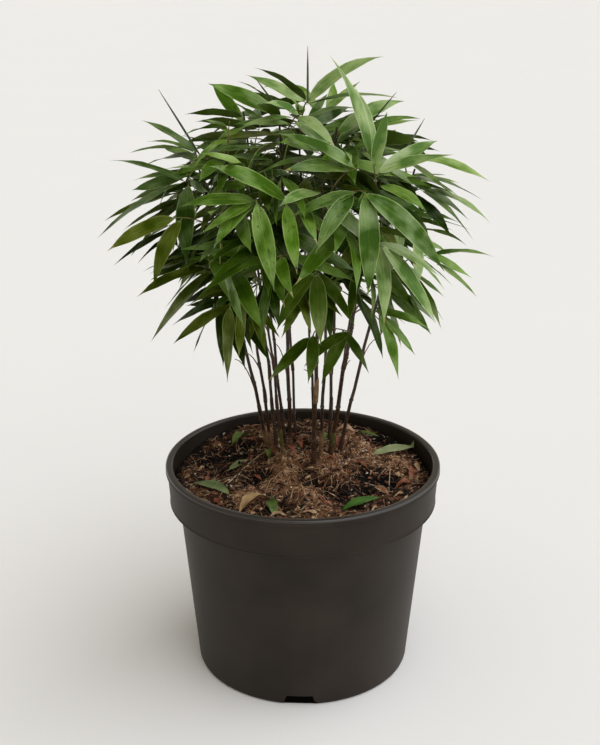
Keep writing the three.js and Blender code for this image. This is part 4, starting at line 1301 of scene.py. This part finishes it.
liftsAndWallShade = [liftAndWallShade(v.co.x / mm, v.co.y / mm, v.co.z / mm) for v in soilMesh.vertices]
soilMesh.attributes.new("lift", "FLOAT", "POINT").data.foreach_set("value", liftsAndWallShade)
ground = BVHTree.FromPolygons(
    [tuple(vertex.co) for vertex in soilMesh.vertices], [list(face.vertices) for face in soilMesh.polygons]
)


def groundAt(x, y):
    hit = ground.ray_cast(Vector((x * mm, y * mm, soil["rayFrom"] * mm)), Vector((0, 0, -1)))[0]
    return hit.z / mm if hit else compost["edge"]


print(f"compost: {len(soilMesh.polygons)} faces")


# Litter on the compost: crumbs of bark, fibres, straws, leaf scraps and white perlite

# How many of each, their sizes, and how far in from the reach they stay; then the reach, how many
# kinds of crumb and fibre there are, and how many steps a fibre takes.
litter = {
    "crumbs": {"count": 5600, "sizes": (0.4, 2.3), "stretch": (1, 2.8)},
    "chips": {"count": 650, "sizes": (0.35, 0.8), "stretch": (3, 6), "in": 3},
    "fibres": {"count": 2500, "lengths": (5, 22), "radii": (0.12, 0.28), "rise": (0.2, 2.2), "in": 4},
    "tuftFibres": {"count": 80, "lengths": (2.5, 9), "radii": (0.16, 0.34), "rise": (0.4, 3.2)},
    "straws": {"count": 70, "lengths": (9, 26), "radii": (0.25, 0.55), "in": 26},
    "scraps": {"count": 120, "lengths": (5, 15), "in": 14},
    "perlite": {"count": 300, "sizes": (0.5, 1.6), "stretch": 1.1},
    "reach": 120.5, "kinds": 4, "steps": 5,
}


def randomSpot(draw, style):
    away = (litter["reach"] - style.get("in", 0)) * sqrt(draw())
    bearing = 2 * pi * draw()
    return away * cos(bearing), away * sin(bearing)


def addCrumb(heap, x, y, size, stretch, draw, slot):
    jitter = np.array([between(0.6, 1.25, draw()) for corner in crumbCorners])[:, None]
    shape = crumbCorners * jitter * np.array([stretch, 1, between(0.3, 0.8, draw())]) * size
    bearing, tilt = 2 * pi * draw(), 0.9 * (draw() - 0.5)
    c, s = cos(bearing), sin(bearing)
    turned = np.stack([c * shape[:, 0] - s * shape[:, 1], s * shape[:, 0] + c * shape[:, 1], shape[:, 2]], 1)
    turned[:, 2] += tilt * turned[:, 0]
    addToHeap(heap, turned + np.array([x, y, groundAt(x, y) + size * 0.15]), crumbFaces, slot)


# The darker kinds lie in the pits and by the pot's wall and the paler ones on the clods: painted shade in
# the hollows and under the rim.
def kindByLiftAndShade(x, y, share):
    lift, kinds = liftAndWallShade(x, y, groundAt(x, y)), litter["kinds"]
    return min(kinds - 1, max(0, int(kinds * (share * 0.8 + lift * 0.6 - 0.25))))


# A fibre that runs over the ground, turning as it goes, its middle raised.
def addFibre(heap, x, y, length, turn, rise, radius, draw, slot):
    bearing, points, steps = 2 * pi * draw(), [], litter["steps"]
    for k in range(steps + 1):
        if hypot(x, y) > litter["reach"] + 0.5:
            break
        points.append(np.array([x, y, groundAt(x, y) + 0.3 + rise * sin(pi * k / steps)]))
        heading = bearing + turn * k / steps
        x += length / steps * cos(heading)
        y += length / steps * sin(heading)
    if len(points) > 2:
        thick = [radius * (1 - 0.5 * abs(2 * k / steps - 1)) for k in range(len(points))]
        addTube(heap, points, thick, 3, slot)


crumbHeap = newHeap()
draw = seeded(seeds["crumbs"])
style = litter["crumbs"]
for index in range(style["count"]):
    x, y = randomSpot(draw, style)
    size, stretch = between(*style["sizes"], draw() ** 3), between(*style["stretch"], draw() ** 2)
    addCrumb(crumbHeap, x, y, size, stretch, draw, kindByLiftAndShade(x, y, draw() ** 1.3))
style = litter["chips"]
for index in range(style["count"]):
    x, y = randomSpot(draw, style)
    size, stretch = between(*style["sizes"], draw()), between(*style["stretch"], draw())
    addCrumb(crumbHeap, x, y, size, stretch, draw, 2 + int(1.6 * draw()))
# Shredded bark is rough and matte, from near black to pale; the darker crumbs lie in the pits and by the
# wall as painted shade.
heapPiece(crumbHeap, "barkCrumbs", [
    ("barkCrumbDark", 0x100905, 0x23160D),
    ("barkCrumbBrown", 0x2A1910, 0x4C3120),
    ("barkCrumbRed", 0x5A3725, 0x956547),
    ("barkCrumbPale", 0xAE8660, 0xE8C8A2),
], 60)

fibreHeap = newHeap()
draw = seeded(seeds["fibres"])
style = litter["fibres"]
for index in range(style["count"]):
    x, y = randomSpot(draw, style)
    length, turn = between(*style["lengths"], draw() ** 2), 2.6 * (draw() - 0.5)
    rise, radius = between(*style["rise"], draw() ** 2), between(*style["radii"], draw() ** 1.6)
    kind = kindByLiftAndShade(x, y, draw())
    addFibre(fibreHeap, x, y, length, turn, rise, radius, draw, kind)
style = litter["tuftFibres"]
for (px, py), wide in tufts:
    for index in range(style["count"]):
        away, bearing = wide * 0.95 * sqrt(draw()), 2 * pi * draw()
        x, y = px + away * cos(bearing), py + away * sin(bearing)
        length, turn = between(*style["lengths"], draw()), 6 * (draw() - 0.5)
        rise, radius = between(*style["rise"], draw()), between(*style["radii"], draw())
        kind = 1 + int(2.1 * draw() ** 1.2)
        addFibre(fibreHeap, x, y, length, turn, rise, radius, draw, kind)
# Fibres are dull: dark for roots, red-brown for coir and pale for bits of straw; the loose ones take the
# darker kinds in the pits and by the wall, as painted shade.
heapPiece(fibreHeap, "compostFibres", [
    ("rootFibreDark", 0x1E120A, 0x3E2A1B),
    ("coirFibre", 0x744A34, 0xAE7C58),
    ("coirFibreBright", 0xB88A64, 0xF0CAA2),
    ("strawFibre", 0xC2A47C, 0xF2DEBC),
])

# Straws seen in the front view, from end to end with their radius, and the rest at random.
straws = [
    ((42, 40), (46, -13), 0.5), ((59, -10), (74, -11), 0.45), ((84, 12), (80, -34), 0.5),
    ((-72, -24), (-43, 32), 0.55), ((-109, -30), (-92, -64), 0.7), ((-76, -4), (-58, -9), 0.45),
    ((97, 24), (109, -14), 0.6), ((-6, -34), (20, -14), 0.5), ((-30, -88), (-14, -66), 0.45),
    ((10, -96), (30, -78), 0.55), ((64, -38), (84, -60), 0.5), ((-60, -58), (-84, -66), 0.5),
]
strawHeap = newHeap()
draw = seeded(seeds["straws"])
style = litter["straws"]
for index in range(style["count"]):
    x, y = randomSpot(draw, style)
    length, bearing = between(*style["lengths"], draw() ** 2), 2 * pi * draw()
    end = (x + length * cos(bearing), y + length * sin(bearing))
    straws.append(((x, y), end, between(*style["radii"], draw() ** 2)))
for start, end, radius in straws:
    low, high = [np.array([x, y, groundAt(x, y) + radius]) for x, y in (start, end)]
    checked = [between(low, high, t) for t in (0.25, 0.5, 0.75)]
    lift = max(0.3, max(groundAt(x, y) - z for x, y, z in checked) + radius)
    shares = [k / 5 for k in range(6)]
    points = [between(low, high, t) + upward * (lift * sin(pi * t)) for t in shares]
    addTube(strawHeap, points, [radius * (1 - 0.35 * t) for t in shares], 5, int(1.99 * draw()))
# Straws and leaf stalks are dry and smoother than the fibres, so they shine a little.
heapPiece(strawHeap, "straws", [
    ("dryStraw", 0xA08664, 0xD9C4A0, 4, 0.6),
    ("dryRachis", 0x5E4028, 0x8E6A48, 4, 0.6),
])

perliteHeap = newHeap()
draw = seeded(seeds["perlite"])
style = litter["perlite"]
for index in range(style["count"]):
    x, y = randomSpot(draw, style)
    addCrumb(perliteHeap, x, y, between(*style["sizes"], draw() ** 2), style["stretch"], draw, 0)
# Perlite is a white mineral foam, so fine and rough that it looks like chalk.
heapPiece(perliteHeap, "perlite", [("expandedPerlite", 0xC9C2B4, 0xF0ECE2, 1, 0.9)], 60)

# Scraps of dry leaf, curled up: where each lies, its bearing, its length and its kind.
scrapStyle = {
    **blade, "widths": (0.2, 0.36), "arch": (0.1, 0.42), "droop": (0, 0.1), "twist": 130, "ripple": 0.7,
    "fold": (0.3, 1.1),
}
scraps = [
    ([72, -33], -52, 30, 0), ([106, 2], 82, 26, 1), ([111, 20], 96, 18, 0), ([43, 81], 4, 24, 0),
    ([-12, 22], 118, 20, 1), ([-4, 44], -68, 24, 1), ([-22, -88], 20, 17, 0), ([-60, 78], 48, 34, 3),
    ([64, 72], -14, 26, 3), ([22, 60], 100, 20, 3), ([-6, 60], 30, 20, 1), ([96, -20], 30, 22, 1),
    ([-26, -62], 140, 22, 1), ([6, -84], 170, 18, 0), ([-78, -60], -20, 16, 1), ([36, 52], 80, 22, 1),
    ([-34, 30], 100, 18, 3), ([-30, 14], 60, 16, 0), ([54, 12], 150, 18, 1), ([-98, 20], 70, 14, 0),
    ([-29, -72], 108, 30, 3),
]


# A leaf that lies on the ground, its middle at a spot.
def lyingLeaf(spot, along, face, length, draw, style):
    root = np.array([spot[0], spot[1], 0]) - along * length / 2
    return leafForm({"root": root, "along": along, "face": face, "length": length}, draw, style)


# Lays a leaf down so that the given percentage of its points is over the ground.
def layDown(points, percentage):
    under = [groundAt(x, y) - z for x, y, z in points]
    points[:, 2] += np.percentile(under, percentage)


scrapHeap = newHeap()
draw = seeded(seeds["scraps"])
style = litter["scraps"]
for index in range(style["count"]):
    spot, length = randomSpot(draw, style), between(*style["lengths"], draw() ** 1.5)
    scraps.append((spot, 360 * draw(), length, int(2.99 * draw() ** 0.8)))
for index, (spot, bearing, length, kind) in enumerate(scraps):
    along = direction(bearing, between(-6, 14, draw()))
    face = unit(upward - along * along[2])
    points, uvs = lyingLeaf(spot, along, face, length, seeded(seeds["scrapForms"] + index), scrapStyle)
    layDown(points, 75)
    addToHeap(scrapHeap, points, bladeFaces(), kind, uvs)
# Scraps of leaf are papery: tan or red-brown when dry, near black when rotten, green when fresh.
heapPiece(scrapHeap, "leafScraps", [
    ("dryLeafTan", 0x86654A, 0xCDAC84, 5, 0.6),
    ("dryLeafRed", 0x64321F, 0xA3674A, 5, 0.6),
    ("rottingLeaf", 0x22140C, 0x46301F, 8, 0.7),
    ("greenLeafScrap", 0x3E5218, 0x6A7F35, 8, 0.5),
], 50)
print("litter: crumbs, fibres, straws, scraps and perlite")


# Fallen leaves, laid over the compost

# Where each lies, its bearing, its length and its two colours. A shed leaf has lost its sheen, and
# goes from green through grey-green to faded, pale and at last papery brown.
fallen = [
    ("greyGreen", [-85, -33], 144, 49, 0x56663A, 0x7E8C58),
    ("faded", [-61, 18], 51, 36, 0x66703E, 0x8D9664),
    ("fresh", [53, -65], 216, 47, 0x2A5212, 0x4A7626),
    ("pale", [90, 43], 24, 56, 0x7F8A5C, 0xA9B184),
    ("papery", [-44, -70], 50, 46, 0x8E7048, 0xBFA074),
]
fallenStyle = {
    **blade,
    "stations": [
        (0.0, 0.05), (0.09, 0.05), (0.13, 0.3), (0.21, 0.64), (0.33, 0.9), (0.47, 1.0), (0.61, 0.94),
        (0.75, 0.74), (0.86, 0.46), (0.94, 0.2), (0.975, 0.09),
    ],
    "widths": (0.27, 0.31), "arch": (0.02, 0.06), "twist": 12, "sweep": 0.06, "fold": (0.04, 0.16),
}
paperyStyle = {**fallenStyle, "widths": (0.23, 0.26), "arch": (0.2, 0.24), "twist": 60, "fold": (0.6, 0.8)}
wallReach = 120.6
for index, (kind, spot, bearing, length, dark, light) in enumerate(fallen):
    style = paperyStyle if kind == "papery" else fallenStyle
    draw = seeded(seeds["fallen"] + index)
    points, uvs = lyingLeaf(spot, direction(bearing, 0), upward, length, draw, style)
    away = np.hypot(points[:, 0], points[:, 1])
    beyond = np.maximum(0, away - wallReach)      # a leaf that meets the pot's wall climbs it
    points[:, :2] *= ((away - 0.9 * beyond) / away)[:, None]
    points[:, 2] += 1.1 * beyond
    layDown(points, 92)
    points[:, 2] += 0.3
    heap = newHeap()
    addToHeap(heap, points, bladeFaces(fallenStyle), 0, uvs)
    look = ("shedLeaf_" + kind, dark, light, 12, 0.55)
    heapPiece(heap, f"shedLeaf_{index + 1}", [look], 50, [f"fallen_leaf_{index + 1}"])
print("fallen leaves:", len(fallen))


# Floor, lights and camera

# The floor is flat as far as the light matters and sweeps up far off, so that low views end on it.
studio = {
    "sweep": 0.018, "flat": 7, "end": 22, "worldColour": 0xFFF6E2, "worldStrength": 0.355,
    "lampColour": 0xF3F7FF,
    "lamps": [
        {"name": "softKey", "from": (1.3, -0.5, 1.1), "strength": 2.42, "angle": 104},
        {"name": "overheadPanel", "from": (0.1, -0.1, 1), "strength": 0.48, "angle": 60},
    ],
}
floorRings = [
    (0, 0, studio["sweep"] * (away - studio["flat"]) ** 2, away)
    for away in range(studio["flat"], studio["end"], 2)
]
floor = extrudeRings(floorRings, 96, 1, closed=False)
floor.name = "studioFloor"
bpy.ops.object.mode_set(mode="EDIT")
bpy.ops.mesh.flip_normals()
bpy.ops.object.mode_set(mode="OBJECT")
bpy.ops.object.shade_smooth_by_angle(angle=radians(40))
# Painted floor: matte and off-white, with clouds so faint that it looks even.
floor.data.materials.append(noiseMaterial(
    "paintedStudioFloor",
    {"Roughness": 0.9, "Specular IOR Level": 0.1},
    {"Scale": 3, "Detail": 2},
    [(0, 0xF5F4F1), (1, 0xF8F6F3)],
))

world = bpy.data.worlds.new("paleStudio")
bpy.context.scene.world = world
world.use_nodes = True
background = world.node_tree.nodes["Background"]
background.inputs["Color"].default_value = linear(studio["worldColour"])
background.inputs["Strength"].default_value = studio["worldStrength"]

for plan in studio["lamps"]:
    deselectAll()
    bpy.ops.object.light_add(type="SUN", location=[2 * part for part in plan["from"]])
    lamp = bpy.context.object
    lamp.name = plan["name"]
    lamp.data.energy = plan["strength"]
    lamp.data.color = linear(studio["lampColour"])[:3]
    lamp.data.angle = radians(plan["angle"])
    lamp.rotation_euler = Vector(plan["from"]).to_track_quat("Z", "Y").to_euler()

view = {"place": (-0.0027, -1.1287, 0.7147), "aim": (-0.0027, 0, 0.2927), "lens": 62.82}
deselectAll()
bpy.ops.object.camera_add(location=view["place"])
camera = bpy.context.object
camera.name = "viewCamera"
camera.data.lens = view["lens"]
camera.data.sensor_width = 36
camera.data.clip_start = 0.05
way = Vector(view["aim"]) - Vector(view["place"])
camera.rotation_euler = way.to_track_quat("-Z", "Y").to_euler()
bpy.context.scene.camera = camera
bpy.context.scene.view_settings.view_transform = "Standard"
deselectAll()
